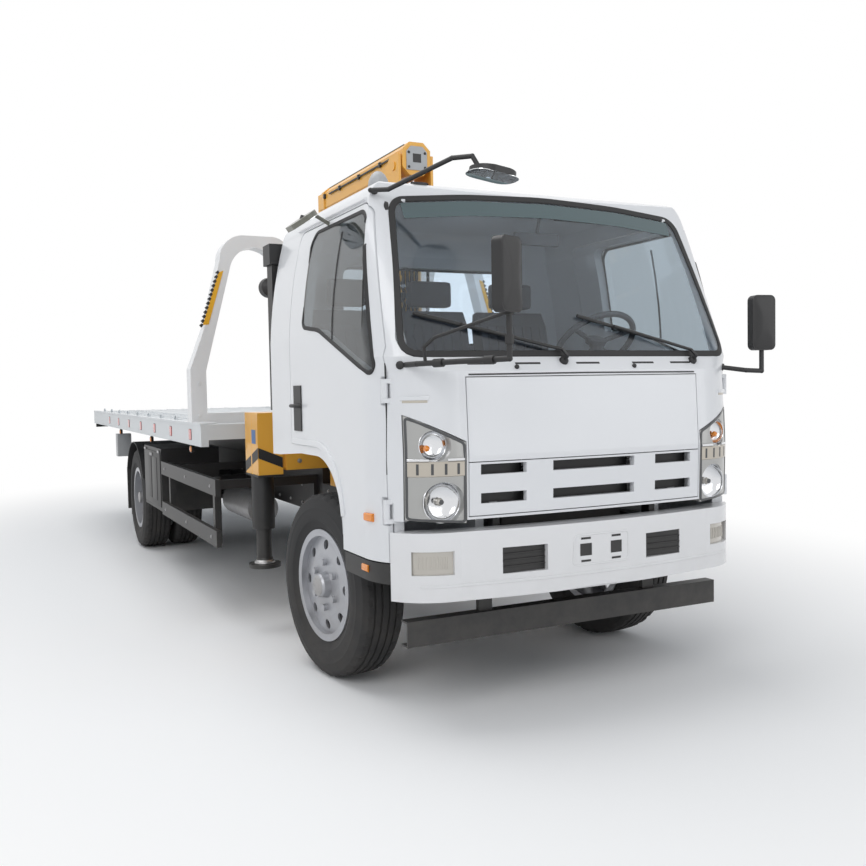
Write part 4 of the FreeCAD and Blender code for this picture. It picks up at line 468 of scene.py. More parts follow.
def thrown(spots, way, skin=CAB_SKIN):
    """Where spots land on a skin when sent in a direction, and the skin's outward normals there."""
    path, normals = [], []
    way = Vector(way).normalized()
    for spot in spots:
        hit, normal, face, far = skin.ray_cast(at(*spot), way)
        if hit is None:
            continue
        path.append(hit)
        normals.append(normal if normal.dot(way) < 0 else -normal)
    last = len(normals) - 1
    for smoothing in range(2):
        normals = [(normals[max(index - 1, 0)] + normal * 2 + normals[min(index + 1, last)]).normalized()
                   for index, normal in enumerate(normals)]
    return path, normals


def on_front(spots, skin=CAB_SKIN):
    """Where spots of (y, z) land on the truck's front."""
    return thrown([(OUTSIDE, y, z) for y, z in spots], BACKWARD, skin)


def on_side(side, spots, skin=CAB_SKIN):
    """Where spots of (x, z) land on one side of the truck."""
    return thrown([(x, side * OUTSIDE, z) for x, z in spots], (0, -side, 0), skin)


def front_face(y, z):
    """How far forward the cab reaches at one spot of its front."""
    return on_front([(y, z)])[0][0].x - FRONT_AXLE


def add_foot(shape, landed, sunk, profile):
    """A round foot square to the skin at the spot that landed there, sunk in a little."""
    hit, normal = landed[0][0], landed[1][0]
    shape.turn(hit - at(0, 0, 0) - normal * sunk, normal, profile, 16)


# ---------------------------------------------------------------- cab

WINDSCREEN = [(-0.842, 1.533), (0.842, 1.533), (0.763, 2.152), (0.745, 2.184), (0.715, 2.202),
              (0.400, 2.2315), (0.0, 2.2455), (-0.400, 2.2315), (-0.715, 2.202), (-0.745, 2.184),
              (-0.763, 2.152)]
TINTED_BAND = [(-0.715, 2.150), (-0.40, 2.180), (0, 2.192), (0.40, 2.180), (0.715, 2.150)]
BACK_WINDOW = [(-0.52, 1.64), (0.52, 1.64), (0.52, 2.08), (-0.52, 2.08)]
DOOR_WINDOW = [(-0.060, 1.700), (0.170, 1.676), (0.775, 1.458), (0.812, 1.500), (0.632, 2.120),
               (0.582, 2.155), (-0.010, 2.155), (-0.060, 2.105)]
WINDOW_BAR = 0.36
BEHIND_CAB = -0.9


def make_glass_seals():
    """Rubber seals round the windscreen, the door windows and the back window, and the tinted top band."""
    seal = Shape()
    seal.lay(on_front(rounded(WINDSCREEN, 0.075)), 0.030, -0.002, 0.005, True)
    back = [(BEHIND_CAB, y, z) for y, z in rounded(BACK_WINDOW, 0.07)]
    seal.lay(thrown(back, FORWARD), 0.026, -0.002, 0.005, True)
    seal.done("windscreen_seal", "cab", RUBBER, "black_plastic")
    band = Shape()
    band.lay(on_front(rounded(TINTED_BAND, 0.05, False)), 0.075, 0.0004, 0.0012)
    band.done("windscreen_band", "cab", TEAL_BAND, "glass")
    for name, side in SIDES:
        seal = Shape()
        seal.lay(on_side(side, rounded(DOOR_WINDOW, 0.045)), 0.020, -0.002, 0.004, True)
        bar = [(WINDOW_BAR, z) for z in millimetres(1620, 2150, 60)]
        seal.lay(on_side(side, bar), 0.014, 0.0003, 0.002)
        seal.done("window_seal_" + name, "door_" + name, RUBBER, "black_plastic")


HEADLAMP_EDGE = [(0.616, 0.855), (0.836, 0.872), (0.836, 1.279), (0.616, 1.172)]
HEADLAMP_ACROSS = millimetres(618, 838, 24)
HEADLAMP_OUTER = 0.834  # how far out the lamps' outer edges are
DIVIDER_HEIGHT = 1.072
SHELF_HEIGHT = 1.109
MAIN_BULB = ((0.010, 0.014), (0.020, 0.017), (0.030, 0.013), (0.036, 0.005))
BULB_CAP = ((0.0365, 0.011), (0.0375, 0.011), (0.038, 0.004))
INDICATOR_BULB = ((0.012, 0.010), (0.022, 0.014), (0.032, 0.012), (0.038, 0.004))


def add_bowl(shape, spot, radius, facets):
    """A reflector bowl at its floor's centre, with a bead round its mouth."""
    x, y, z = spot
    rim = radius - 0.003
    profile = [(0.010, radius * 0.2), (0.011, radius * 0.45), (0.016, radius * 0.7), (0.028, radius * 0.9),
               (0.040, rim), (0.0385, rim + 0.002), (0.009, rim + 0.002), (0.009, radius * 0.2)]
    shape.turn(spot, FORWARD, profile, facets, 0.2)
    bead = [at(x + 0.0395, y + a, z + b) for a, b in circle(rim + 0.002, 40)]
    shape.sweep(bead, [Vector(FORWARD)] * len(bead), strip(0.004, -0.001, 0.002), True)


def lamp_border(side):
    """The border's path: across as the cab's front bends, and upward as its outer edge leans."""
    edge = rounded(HEADLAMP_EDGE, 0.014)
    across, normals = on_front([(side * y, DIVIDER_HEIGHT) for y, z in edge])
    upward = on_front([(side * HEADLAMP_OUTER, max(z, 0.876)) for y, z in edge])[0]
    middle = on_front([(side * HEADLAMP_OUTER, DIVIDER_HEIGHT)])[0][0]
    path = [Vector((hit.x + up.x - middle.x, hit.y, z)) for hit, up, (y, z) in zip(across, upward, edge)]
    return path, normals


def make_lamps():
    """Headlamp insides: borders, facetted bowls, bulbs and the divider, whose slots are dark strips of
    painted shade.
    """
    bowls, bulbs, amber, ribs, dark = Shape(), Shape(), Shape(), Shape(), Shape()
    for side in BOTH:
        main, indicator = (0.930, side * 0.702, 0.936), (0.922, side * 0.735, 1.166)
        add_bowl(bowls, main, 0.084, 16)
        bulbs.turn(main, FORWARD, MAIN_BULB, 16)
        dark.turn(main, FORWARD, BULB_CAP, 12)
        add_bowl(bowls, indicator, 0.062, 40)
        amber.turn((0.922, side * 0.755, 1.154), FORWARD, INDICATOR_BULB, 16)
        ribs.lay(on_front([(side * y, DIVIDER_HEIGHT) for y in HEADLAMP_ACROSS]), 0.062, -0.003, 0.003)
        # The divider's slots are dark strips laid on its ribs: painted shade.
        for y in row(0.645, 0.052, 4):
            slot = on_front([(side * y, z) for z in millimetres(1050, 1095, 11)])
            dark.lay(slot, 0.011, 0.0032, 0.0038)
        bowls.lay(on_front([(side * y, SHELF_HEIGHT) for y in HEADLAMP_ACROSS]), 0.010, -0.002, 0.005)
        dark.lay(lamp_border(side), 0.011, -0.002, 0.003, True)
    bowls.done("headlamp_bowls", "cab", REFLECTOR, "lamp")
    bulbs.done("headlamp_bulbs", "cab", LENS_PALE, "lamp")
    amber.done("indicator_bulbs", "cab", AMBER, "lamp")
    ribs.done("headlamp_dividers", "cab", BEIGE_TRIM, "lamp")
    dark.done("headlamp_borders", "cab", LAMP_DARK, "lamp")


GRILLE_SLOT_TOPS = (1.084, 0.966)
GRILLE_SLOT_SPANS = ((-0.545, -0.335), (-0.207, 0.216), (0.335, 0.545))
COWL_VENTS = (-0.52, -0.30, 0.0, 0.30, 0.52)
WASHER_JETS = ((-0.36, 1.475), (0.24, 1.475))
JET = ((0, 0.010), (0.008, 0.010), (0.013, 0.006))
WIPER_FEET = ((-0.12, 1.500), (0.60, 1.500))
WIPER_FOOT = ((0, 0.021), (0.012, 0.019), (0.020, 0.012))


def make_front_panels():
    """Dark backing behind the grille slots as painted shade deep in them, the lid's lip, the cowl vents and
    jets.
    """
    backing = Shape()
    # Black plates close the grille slots from behind; their black is painted shade for the depth of the
    # slots.
    for top in GRILLE_SLOT_TOPS:
        for low, high in GRILLE_SLOT_SPANS:
            backing.block((0.958, 0.966), (low - 0.01, high + 0.01), (top - 0.05, top + 0.006), 0.0)
    backing.done("grille_backing", "cab", PLASTIC_BLACK, "black_plastic")
    trim = Shape()
    lip = rounded([(-0.585, 1.448), (0.0, 1.450), (0.585, 1.448)], 0.02, False)
    trim.lay(on_front(lip), 0.006, -0.001, 0.003)
    for y in COWL_VENTS:
        trim.lay(on_front([(y + n * 0.02, 1.492) for n in range(-3, 4)]), 0.010, -0.001, 0.0015)
    for y, z in WASHER_JETS:
        trim.turn((front_face(y, z) - 0.002, y, z), (1, 0, 0.6), JET, 12)
    for y, z in WIPER_FEET:
        trim.turn((front_face(y, z) - 0.002, y, z), (1, 0, 0.7), WIPER_FOOT, 18)
    trim.done("cowl_trim", "cab", PLASTIC_BLACK, "black_plastic")


NUMBER_PAD = [(-0.135, 0.636), (0.155, 0.636), (0.155, 0.764), (-0.125, 0.764)]
PAD_HOLES = (-0.070, 0.088)
PAD_SLOTS = (0.652, 0.748)


def add_painted_opening(shape, y, z, step, wide):
    """A dark patch on the bumper's front, painted shade where a hole or slot of the number pad is; centred at
    a spot, four steps across.
    """
    landed = on_front([(y + n * step, z) for n in range(-2, 3)], BUMPER_SKIN)
    shape.lay(landed, wide, 0.0004, 0.0016)


def make_bumper_details():
    """Slats in the ducts, the number pad with its holes as dark patches of painted shade, the crease and the
    fog lamps' ribs.
    """
    dark, lens, white = Shape(), Shape(), Shape()
    fog_skin = skin_of("fog_lamps")
    for side in BOTH:
        dark.block((1.0305, 1.0335), (side * 0.2562, side * 0.4618), (0.6322, 0.7398), 0.0)
        for z in (0.660, 0.686, 0.712):
            dark.block((1.0335, 1.042), (side * 0.259, side * 0.459), (z - 0.002, z + 0.002), 0.0006)
        for y in row(0.690, 0.0135, 9):
            heights = (0.668, 0.680, 0.693, 0.706, 0.718)
            rib = on_front([(side * y, z) for z in heights], fog_skin)
            if len(rib[0]) == len(heights):
                lens.lay(rib, 0.006, -0.001, 0.003)
    white.lay(on_front(rounded(NUMBER_PAD, 0.02), BUMPER_SKIN), 0.008, -0.001, 0.003, True)
    crease = rounded([(-0.80, 0.600), (0.80, 0.600)], 0.02, False, 0.05)
    white.lay(on_front(crease, BUMPER_SKIN), 0.012, -0.002, 0.004)
    # The number pad's holes and slots are dark patches on the skin: painted shade.
    for y in PAD_HOLES:
        add_painted_opening(dark, y, 0.700, 0.0145, 0.052)
        for z in PAD_SLOTS:
            add_painted_opening(dark, y, z, 0.012, 0.009)
    white.done("bumper_creases", "chassis", BUMPER_WHITE, "cab_paint")
    dark.done("bumper_ducts", "chassis", PLASTIC_BLACK, "black_plastic")
    lens.done("fog_lamp_ribs", "chassis", LENS_PALE, "fog_lens")


HANDLE_X = -0.150
ARCH_RADIUS = 0.352
ARCH_CENTRE = (0.11, 0.790)
ARCH_TAIL = ((0.04, 1.142), (-0.03, 1.142), (-0.10, 1.142), (-0.17, 1.142), (-0.235, 1.142))
DOOR_EDGE = 0.864
DRIP_RAIL = ((0.655, 2.192), (0.58, 2.204), (0.4, 2.206), (0.2, 2.206), (0.0, 2.206), (-0.2, 2.205),
             (-0.30, 2.203))


def make_door_handle(name, side):
    """Dark recess with a pull bar and a lock."""
    dark = Shape()
    recess = [(HANDLE_X, z) for z in millimetres(1195, 1421, 15)]
    dark.lay(on_side(side, recess), 0.118, -0.002, 0.006)
    y = abs(on_side(side, [(HANDLE_X, 1.305)])[0][0].y)
    dark.tube([(-0.205, side * (y + 0.002), 1.318), (-0.19, side * (y + 0.026), 1.320),
               (-0.11, side * (y + 0.026), 1.320), (-0.095, side * (y + 0.002), 1.318)], 0.009)
    lock = ((0, 0.011), (0.006, 0.011), (0.007, 0.008))
    dark.turn((HANDLE_X, side * (y - 0.002), 1.272), (0, side, 0), lock, 16)
    dark.done("door_handle_" + name, "door_" + name, PLASTIC_BLACK, "black_plastic")


def make_corner_trims(name, side):
    """Flare over the wheel arch, grip lip at the front corner with a strip of painted shadow under it, and
    the door's front seam.
    """
    white, lip, shade, seam = Shape(), Shape(), Shape(), Shape()
    x, z = ARCH_CENTRE
    angles = [math.radians(degrees) for degrees in row(8, 5.9, 15)]
    flare = [(x + ARCH_RADIUS * math.cos(angle), z + ARCH_RADIUS * math.sin(angle)) for angle in angles]
    white.lay(on_side(side, flare + list(ARCH_TAIL)), 0.034, -0.003, 0.010)
    hits, normals = on_side(side, [(DOOR_EDGE, z) for z in (0.66, 0.80, 1.05, 1.25, 1.50)])
    beside = Vector((-0.0065, side * 0.0034, 0))
    seam.sweep([hit + beside for hit in hits], normals, strip(0.006, -0.003, 0.0006))
    lip.lay(on_front([(side * y, 1.356) for y in millimetres(752, 849, 12)]), 0.016, -0.002, 0.008)
    # A thin beige strip just under the lip is painted shadow, in the beige trim finish.
    shade.lay(on_front([(side * y, 1.344) for y in millimetres(758, 849, 12)]), 0.012, -0.001, 0.0015)
    white.done("arch_flare_" + name, "door_" + name, CAB_WHITE, "cab_paint")
    lip.done("corner_grip_" + name, "cab", CAB_WHITE, "cab_paint")
    shade.done("corner_grip_painted_shadow_" + name, "cab", BEIGE_TRIM, "cab_paint")
    seam.done("door_seam_" + name, "cab", RUBBER, "black_plastic")


def make_door_details():
    """Handles, arch flares, drip rails, repeaters, reflectors and step treads on each side of the cab."""
    sill_skin = skin_of("cab_sills")
    for name, side in SIDES:
        make_door_handle(name, side)
        make_corner_trims(name, side)
        gutter, lens, plate, step = Shape(), Shape(), Shape(), Shape()
        gutter.lay(on_side(side, DRIP_RAIL), 0.012, -0.002, 0.012)
        gutter.done("drip_rail_" + name, "cab", CAB_WHITE, "cab_paint")
        lens.lay(on_side(side, [(x, 0.869) for x in millimetres(722, 783, 10)]), 0.034, -0.002, 0.014)
        lens.done("side_repeater_" + name, "door_" + name, AMBER, "lamp")
        reflector = [(x, 0.650) for x in millimetres(672, 733, 12)]
        plate.lay(on_side(side, reflector, sill_skin), 0.030, -0.001, 0.007)
        plate.done("sill_reflector_" + name, "cab", AMBER, "lamp")
        for x in row(0.50, 0.034, 9):
            step.block((x, x + 0.012), (side * 0.79, side * 0.90), (0.6805, 0.6835), 0.0008)
        step.done("sill_tread_" + name, "cab", PLASTIC_BLACK, "black_plastic")


# Centre, width, height and turn in degrees of the two main mirrors.
MAIN_MIRRORS = (((1.400, -0.638, 1.800), 0.125, 0.272, 24), ((1.000, 1.002, 1.676), 0.120, 0.260, -12))
# Levels of (height, scale) that build up a mirror's glass or its domed back.
MAIN_GLASS = ((0.0220, 1.0), (0.0262, 1.0))
DOMED_BACK = ((0.0215, 0.99), (0.0232, 0.97), (0.0265, 0.84), (0.0315, 0.66), (0.0355, 0.46), (0.0375, 0.25))
BULGED_GLASS = ((0.0110, 1.0), (0.0136, 1.0), (0.0150, 0.90))
# Ends of the clamps along the arm of the right mirror, and where both arms have their feet.
ARM_CLAMPS = (((1.08, -0.778, 1.492), (1.12, -0.760, 1.493)),
              ((1.30, -0.678, 1.496), (1.34, -0.660, 1.497)),
              ((1.400, -0.632, 1.55), (1.400, -0.632, 1.585)),
              ((1.400, -0.632, 1.655), (1.400, -0.632, 1.69)))
ARM_FEET = ((-0.845, 1.49), (0.850, 1.47))


def mirror_plate(shape, centre, wide, tall, out, size, radius, levels):
    """A plate or cushion on a mirror: its outline at several heights, each with a scale."""
    a, b = size[0] / 2, size[1] / 2
    outline = rounded(box_outline(-a, a, -b, b), radius)
    shape.stack([shape.ring([centre + wide * (u * scale) + tall * (v * scale) + out * height
                             for u, v in outline]) for height, scale in levels])


def tilted_across(degrees):
    """The ways across and down of a mirror that is tilted about the truck's length."""
    tilt = math.radians(degrees)
    return Vector((0, math.cos(tilt), math.sin(tilt))), Vector((0, math.sin(tilt), -math.cos(tilt)))


def make_mirror_details():
    """Mirror glass, housing backs, arm clamps and the feet at the cab."""
    glass, shell, kerb_glass, kerb = Shape(), Shape(), Shape(), Shape()
    for centre, across, tall, turn in MAIN_MIRRORS:
        angle = math.radians(turn)
        out = Vector((math.cos(angle), math.sin(angle), 0))
        wide = Vector((-math.sin(angle), math.cos(angle), 0))
        glass_size = (across - 0.020, tall - 0.020)
        mirror_plate(glass, at(*centre), wide, Vector(UP), -out, glass_size, 0.025, MAIN_GLASS)
        mirror_plate(shell, at(*centre), wide, Vector(UP), out, (across, tall), 0.030, DOMED_BACK)
    leaning, below = tilted_across(-8)
    mirror_plate(glass, at(1.000, -0.460, 2.258), leaning, Vector(BACKWARD), below, (0.215, 0.150), 0.073,
                 BULGED_GLASS)
    leaning, below = tilted_across(35)
    mirror_plate(kerb_glass, at(0.140, -0.985, 2.178), Vector(FORWARD), leaning, below, (0.210, 0.130), 0.063,
                 BULGED_GLASS)
    for ends in ARM_CLAMPS:
        shell.tube(ends, 0.017, 12, 1)
    for y, z in ARM_FEET:
        add_foot(shell, on_front([(y, z)]), 0.004, ((0, 0.017), (0.010, 0.017), (0.014, 0.010)))
    add_foot(shell, on_side(-1, [(0.640, 2.160)]), 0.003, ((0, 0.030), (0.012, 0.030), (0.018, 0.018)))
    shell.turn((0.985, -0.500, 2.256), UP, ((0, 0.016), (0.030, 0.016), (0.034, 0.011)), 14)
    shell.done("mirror_clamps", "cab", PLASTIC_BLACK, "mirror_shell")
    glass.done("mirror_glass", "cab", MIRROR_FACE, "mirror_shell")
    kerb.turn((0.140, -0.972, 2.192), (0, -0.45, -0.9), ((-0.006, 0.020), (0.012, 0.018), (0.016, 0.012)), 14)
    kerb.done("kerb_mirror_clamp", "door_right", PLASTIC_BLACK, "mirror_shell")
    kerb_glass.done("kerb_mirror_glass", "door_right", MIRROR_FACE, "mirror_shell")


ROOF_LAMP_X, ROOF_LAMP_Y = -0.20, -0.45
ROOF_LAMP_FOOT = ((0, 0.050), (0.030, 0.046), (0.045, 0.040), (0.150, 0.038))
ROOF_LAMP_DOME = ((0, 0.052), (0.010, 0.054), (0.040, 0.050), (0.068, 0.036), (0.084, 0.018), (0.088, 0.003))
ROOF_RIBS = (-0.44, -0.22, 0.0, 0.22, 0.44)
ABOVE_CAB = 2.6


def make_roof_details():
    """Dome lamp on its foot, the mirror arm's bracket and the raised ribs of the roof."""
    foot, dome, ribs = Shape(), Shape(), Shape()
    foot.turn((ROOF_LAMP_X, ROOF_LAMP_Y, 2.285), UP, ROOF_LAMP_FOOT)
    foot.block((0.52, 0.58), (-0.61, -0.55), (2.262, 2.300), 0.004)
    foot.done("roof_lamp_foot", "cab", PLASTIC_BLACK, "black_plastic")
    dome.turn((ROOF_LAMP_X, ROOF_LAMP_Y, 2.435), UP, ROOF_LAMP_DOME, 28)
    dome.done("roof_lamp_dome", "cab", TAIL_GREY, "tail_grey")
    for y in ROOF_RIBS:
        above = [(x, y, ABOVE_CAB) for x in millimetres(-420, 340, 60)]
        ribs.lay(thrown(above, (0, 0, -1)), 0.050, -0.003, 0.006)
    ribs.done("roof_ribs", "cab", CAB_WHITE, "cab_paint")


SEAT_PLACES = (0.470, -0.060, -0.520)
SEAM_GAP = 0.058
DASH_VENTS = (-0.66, -0.42, 0.70)
GEAR_KNOB = ((-0.028, 0.010), (-0.01, 0.024), (0.012, 0.024), (0.022, 0.012))
GAUGES = ((0.36, 0.042), (0.47, 0.048), (0.57, 0.026))  # place across and radius


def make_seat_padding():
    """Head rests, and the seams over the cushions and backs."""
    cloth = Shape()
    for place in SEAT_PLACES:
        cloth.block((-0.475, -0.395), (place - 0.13, place + 0.13), (1.845, 1.990), 0.025)
        for number in range(-3, 4):
            y = place + number * SEAM_GAP
            cloth.tube([(-0.280, y, 1.290), (-0.05, y, 1.306), (0.14, y, 1.300)], 0.007, 6, 2)
            cloth.tube([(-0.297, y, 1.330), (-0.345, y, 1.55), (-0.388, y, 1.74)], 0.007, 6, 2)
    cloth.done("seat_padding", "cab", SEAT_CLOTH, "seat_fabric")


def make_cabin_fittings():
    """Hood with its gauges, radio, vents, gear lever, inside mirror, the steering wheel's hub and visors."""
    dark, dials = Shape(), Shape()
    hood, radio = ((0.60, 0.74), (0.27, 0.60), (1.455, 1.545)), ((0.625, 0.66), (-0.14, 0.14), (1.27, 1.39))
    dark.block(*hood, 0.02)
    dark.block(*radio, 0.006)
    for y in DASH_VENTS:
        dark.block((0.630, 0.655), (y - 0.07, y + 0.07), (1.355, 1.405), 0.005)
    lever = [(0.44, 0.10, 1.20), (0.40, 0.10, 1.32), (0.37, 0.09, 1.42)]
    dark.tube(lever, 0.011, 10, 3)
    dark.turn((0.366, 0.088, 1.435), UP, GEAR_KNOB, 16)
    mirror_stem = [(0.640, 0.0, 2.215), (0.625, 0.0, 2.16), (0.60, 0.0, 2.10)]
    dark.tube(mirror_stem, 0.008, 8, 3)
    dark.block((0.585, 0.607), (-0.12, 0.12), (2.045, 2.105), 0.008)
    wheel_hub, column_way = (0.462, 0.430, 1.618), (0.32, 0, 0.95)
    dark.turn(wheel_hub, column_way, ((-0.02, 0.050), (0.006, 0.055), (0.014, 0.040)), 20)
    for y in (-0.36, 0.36):
        dark.block((0.50, 0.565), (y - 0.20, y + 0.20), (2.185, 2.200), 0.006)
    dark.done("cabin_fittings", "cab", DASH_GREY, "dash_plastic")
    for y, radius in GAUGES:
        dials.turn((0.600, y, 1.498), (-1, 0, 0.3), ((0.0, radius), (0.006, radius), (0.007, radius * 0.9)))
    dials.done("dash_gauges", "cab", TAIL_GREY, "dash_plastic")


def make_door_cards():
    """Panels and arm rests on the doors' inner sides."""
    for name, side in SIDES:
        card = Shape()
        card.block((-0.16, 0.60), (side * 0.838, side * 0.862), (1.17, 1.40), 0.008)
        card.block((0.00, 0.42), (side * 0.800, side * 0.845), (1.335, 1.375), 0.012)
        card.done("door_card_" + name, "door_" + name, DASH_GREY, "dash_plastic")


# ---------------------------------------------------------------- wheels

GROOVES = (-0.055, -0.019, 0.019, 0.055)
SHOULDER = 0.066  # where the shoulder blocks begin, from the tread's middle
CROWN_START = 0.4335  # radius from which the tread is cut
CROWN_RADIUS, CROWN_DROP, CROWN_HALF = 0.4468, 0.0040, 0.086
TYRE_STEPS = 144
SIDEWALL = [(-0.0955, 0.249), (-0.0955, 0.272), (-0.103, 0.290), (-0.1125, 0.312), (-0.116, 0.316),
            (-0.117, 0.322), (-0.1192, 0.336), (-0.1192, 0.352), (-0.1175, 0.372), (-0.1185, 0.376),
            (-0.1165, 0.382), (-0.1125, 0.402), (-0.108, 0.421), (-0.098, 0.434), (-0.086, 0.4425)]
FRONT_SPIN = Vector((-0.11494, 0.99337, 0.0))  # the left front wheel's axis, steered a little
FRONT_WHEEL = (-0.0098, 0.7844)
REAR_WHEELS = (0.686, 0.956)


def tread_cut(along, step):
    """How deep the tyre is cut there: grooves round it, notches at its shoulders and fine lines."""
    if any(abs(along - groove) < 0.0045 for groove in GROOVES):
        return -0.009
    if abs(along) > SHOULDER and step % 4 == 0:
        return -0.008
    if abs(along) < SHOULDER and (step + int((along + 0.1) * 60)) % 6 == 0:
        return -0.003
    return 0.0


def add_tyre(shape, centre, axis):
    """A tyre with a cut tread and ribbed sidewalls."""
    crown = [-0.078, -0.068, -0.037, 0.0, 0.037, 0.068, 0.078]
    for groove in GROOVES:
        crown += [groove - 0.0060, groove - 0.0040, groove + 0.0040, groove + 0.0060]
    middle = [(along, CROWN_RADIUS - CROWN_DROP * (along / CROWN_HALF) ** 2) for along in sorted(crown)]
    other = [(-along, radius) for along, radius in reversed(SIDEWALL)]
    centre = at(*centre)
    up = Vector(UP)
    side = axis.cross(up)
    rings = []
    for along, radius in SIDEWALL + middle + other:
        places = []
        for step in range(TYRE_STEPS):
            angle = math.tau * (step + 0.5) / TYRE_STEPS
            real = radius + (tread_cut(along, step) if radius > CROWN_START else 0.0)
            places.append(centre + axis * along + (side * math.cos(angle) + up * math.sin(angle)) * real)
        rings.append(shape.ring(places))
    shape.stack(rings, False)


def add_hub_cap(shape, hub, axis, side):
    """A cap over the hub's end with six bolts."""
    shape.turn(hub, axis, ((-0.02, 0.050), (0.0, 0.050), (0.003, 0.044)))
    for across, up in circle(1.0, 6):
        spot = hub + Vector((across * abs(axis.y), -across * axis.x * side, up)) * 0.036
        shape.bolt(spot + axis * 0.001, axis, *CAP_BOLT)


def make_wheels():
    """Tyres with tread, and hub caps with their bolts."""
    for name, side in SIDES:
        x, y = FRONT_WHEEL
        front = [(side * x, side * y, WHEEL_HEIGHT)]
        rear = [(REAR_AXLE, side * across, WHEEL_HEIGHT) for across in REAR_WHEELS]
        wheels = (("front_" + name, "tyre_front_" + name, "rim_front_" + name, front, FRONT_SPIN * side),
                  ("rear_" + name, "tyres_rear_" + name, "rims_rear_" + name, rear, Vector((0, side, 0))))
        for label, node, rim, centres, axis in wheels:
            tyre, steel = Shape(), Shape()
            for centre in centres:
                add_tyre(tyre, centre, axis.normalized())
            made = tyre.done("tyre_tread_" + label, "wheel_" + label, TYRE_BLACK, "tyre", 24)
            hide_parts(node)
            out = Vector(centres[-1])
            reach = max(abs(corner[1]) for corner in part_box(rim)) - abs(out.y)
            add_hub_cap(steel, out + axis * (reach - 0.004), axis, side)
            steel.done("hub_cap_" + label, "wheel_" + label, BARE_STEEL, "wheel_silver")


# ---------------------------------------------------------------- crane

COLUMN_X = -0.950
HOOK_X = -2.190
PIPE_HEIGHT = 2.8245
BOOM_TAIL = [(-0.066, 2.668), (0.066, 2.668), (0.066, 2.775), (0.038, 2.806), (-0.038, 2.806),
             (-0.066, 2.775)]
BOOM_COLLAR = [(-0.052, 2.632), (0.052, 2.632), (0.098, 2.678), (0.098, 2.792), (0.052, 2.8295),
               (-0.052, 2.8295), (-0.098, 2.792), (-0.098, 2.678)]
JACK_X, JACK_Y = -0.990, 0.885
JACK_SLEEVE = ((0, 0.047), (0, 0.0635), (0.004, 0.0655), (0.318, 0.0655))
SIDE_STRIPE = ((-1.124, 0.925), (-1.124, 0.985), (-0.856, 1.075), (-0.856, 1.015))
FRONT_STRIPE = ((0.802, 0.955), (0.802, 1.015), (0.943, 1.075), (0.943, 1.015))
LEVER_KNOB = ((-0.014, 0.005), (-0.006, 0.012), (0.006, 0.012), (0.013, 0.005))


def make_column_details():
    """Bolts of the slewing ring, and the hoses and their clamps up the column."""
    bolts, lines = Shape(), Shape()
    for a, b in circle(0.152, 16):
        bolts.bolt((COLUMN_X + a, b, 1.3502), UP, *RING_BOLT)
    bolts.done("slew_ring_bolts", "crane_column", BARE_STEEL, "steel")
    for offset in (-0.045, -0.015, 0.015, 0.045):
        lines.tube([(-0.815, offset, 1.42), (-0.812, offset, 1.8), (-0.812, offset, 2.2),
                    (-0.80, offset, 2.42), (-0.742, offset, 2.52), (-0.690, offset * 1.6, 2.600)],
                   0.011, 8, 3)
    lines.tube([(-0.83, 0.10, 1.50), (-0.86, 0.145, 2.0), (-0.90, 0.150, 2.35), (-1.00, 0.142, 2.46)],
               0.010, 8, 3)
    for z in (1.62, 1.95, 2.25):
        lines.block((-0.828, -0.797), (-0.065, 0.065), (z - 0.012, z + 0.012))
    lines.done("column_hoses", "crane_column", RUBBER, "black_plastic")


def make_boom_details():
    """Pipes along the boom, its tail plate with bolts and a dark sheet of painted shade for the hole, and the
    collar at its mouth.
    """
    pipes, tail, hole, collar = Shape(), Shape(), Shape(), Shape()
    for y in (-0.050, 0.050):
        pipes.tube([(x, y, PIPE_HEIGHT) for x in (-0.74, -1.2, -1.7, -2.03)], 0.005, 8, 1)
    pipes.tube([(x, -0.097, 2.76) for x in (-0.80, -1.3, -1.9)], 0.006, 8, 1)
    for x in (-1.0, -1.35, -1.7, -2.0):
        pipes.block((x - 0.012, x + 0.012), (-0.104, -0.088), (2.745, 2.775), 0.002)
    pipes.done("boom_pipes", "boom", CHASSIS_BLACK, "chassis_black")
    tail.prism("x", BOOM_TAIL, -0.6815, -0.673, 0.003)
    # A thin black sheet on the tail plate stands for the hole: painted shade.
    hole.block((-0.6735, -0.6715), (-0.026, 0.026), (2.712, 2.762), 0.0)
    for y in (-0.052, 0.052):
        for z in (2.684, 2.768):
            hole.bolt((-0.673, y, z), FORWARD, *PLATE_BOLT)
    tail.done("boom_tail_plate", "boom", TAIL_GREY, "tail_grey")
    hole.done("boom_tail_hole", "boom", CHASSIS_BLACK, "chassis_black")
    collar.prism("x", BOOM_COLLAR, -2.060, -2.010, 0.004)
    collar.done("boom_collar", "boom", CRANE_ORANGE, "crane_orange")


def make_hook():
    """The hook with its block and sheave, hanging from the inner boom's end."""
    hook = Shape()
    hook.tube([(HOOK_X, 0, 2.690), (HOOK_X, 0, 2.640), (HOOK_X, 0, 2.600)], 0.008, 8, 2)
    hook.block((-2.215, -2.165), (-0.028, 0.028), (2.520, 2.605), 0.008)
    hook.turn((HOOK_X, 0, 2.565), (0, 1, 0), ((-0.034, 0.026), (0.034, 0.026)), 18)
    hook.tube([(HOOK_X, 0, 2.522), (HOOK_X, 0, 2.490), (-2.222, 0, 2.462), (-2.236, 0, 2.425),
               (-2.205, 0, 2.392), (-2.165, 0, 2.400), (-2.148, 0, 2.432), (-2.152, 0, 2.450)], 0.012, 10, 4)
    hook.done("crane_hook", "boom_inner", BARE_STEEL, "steel")


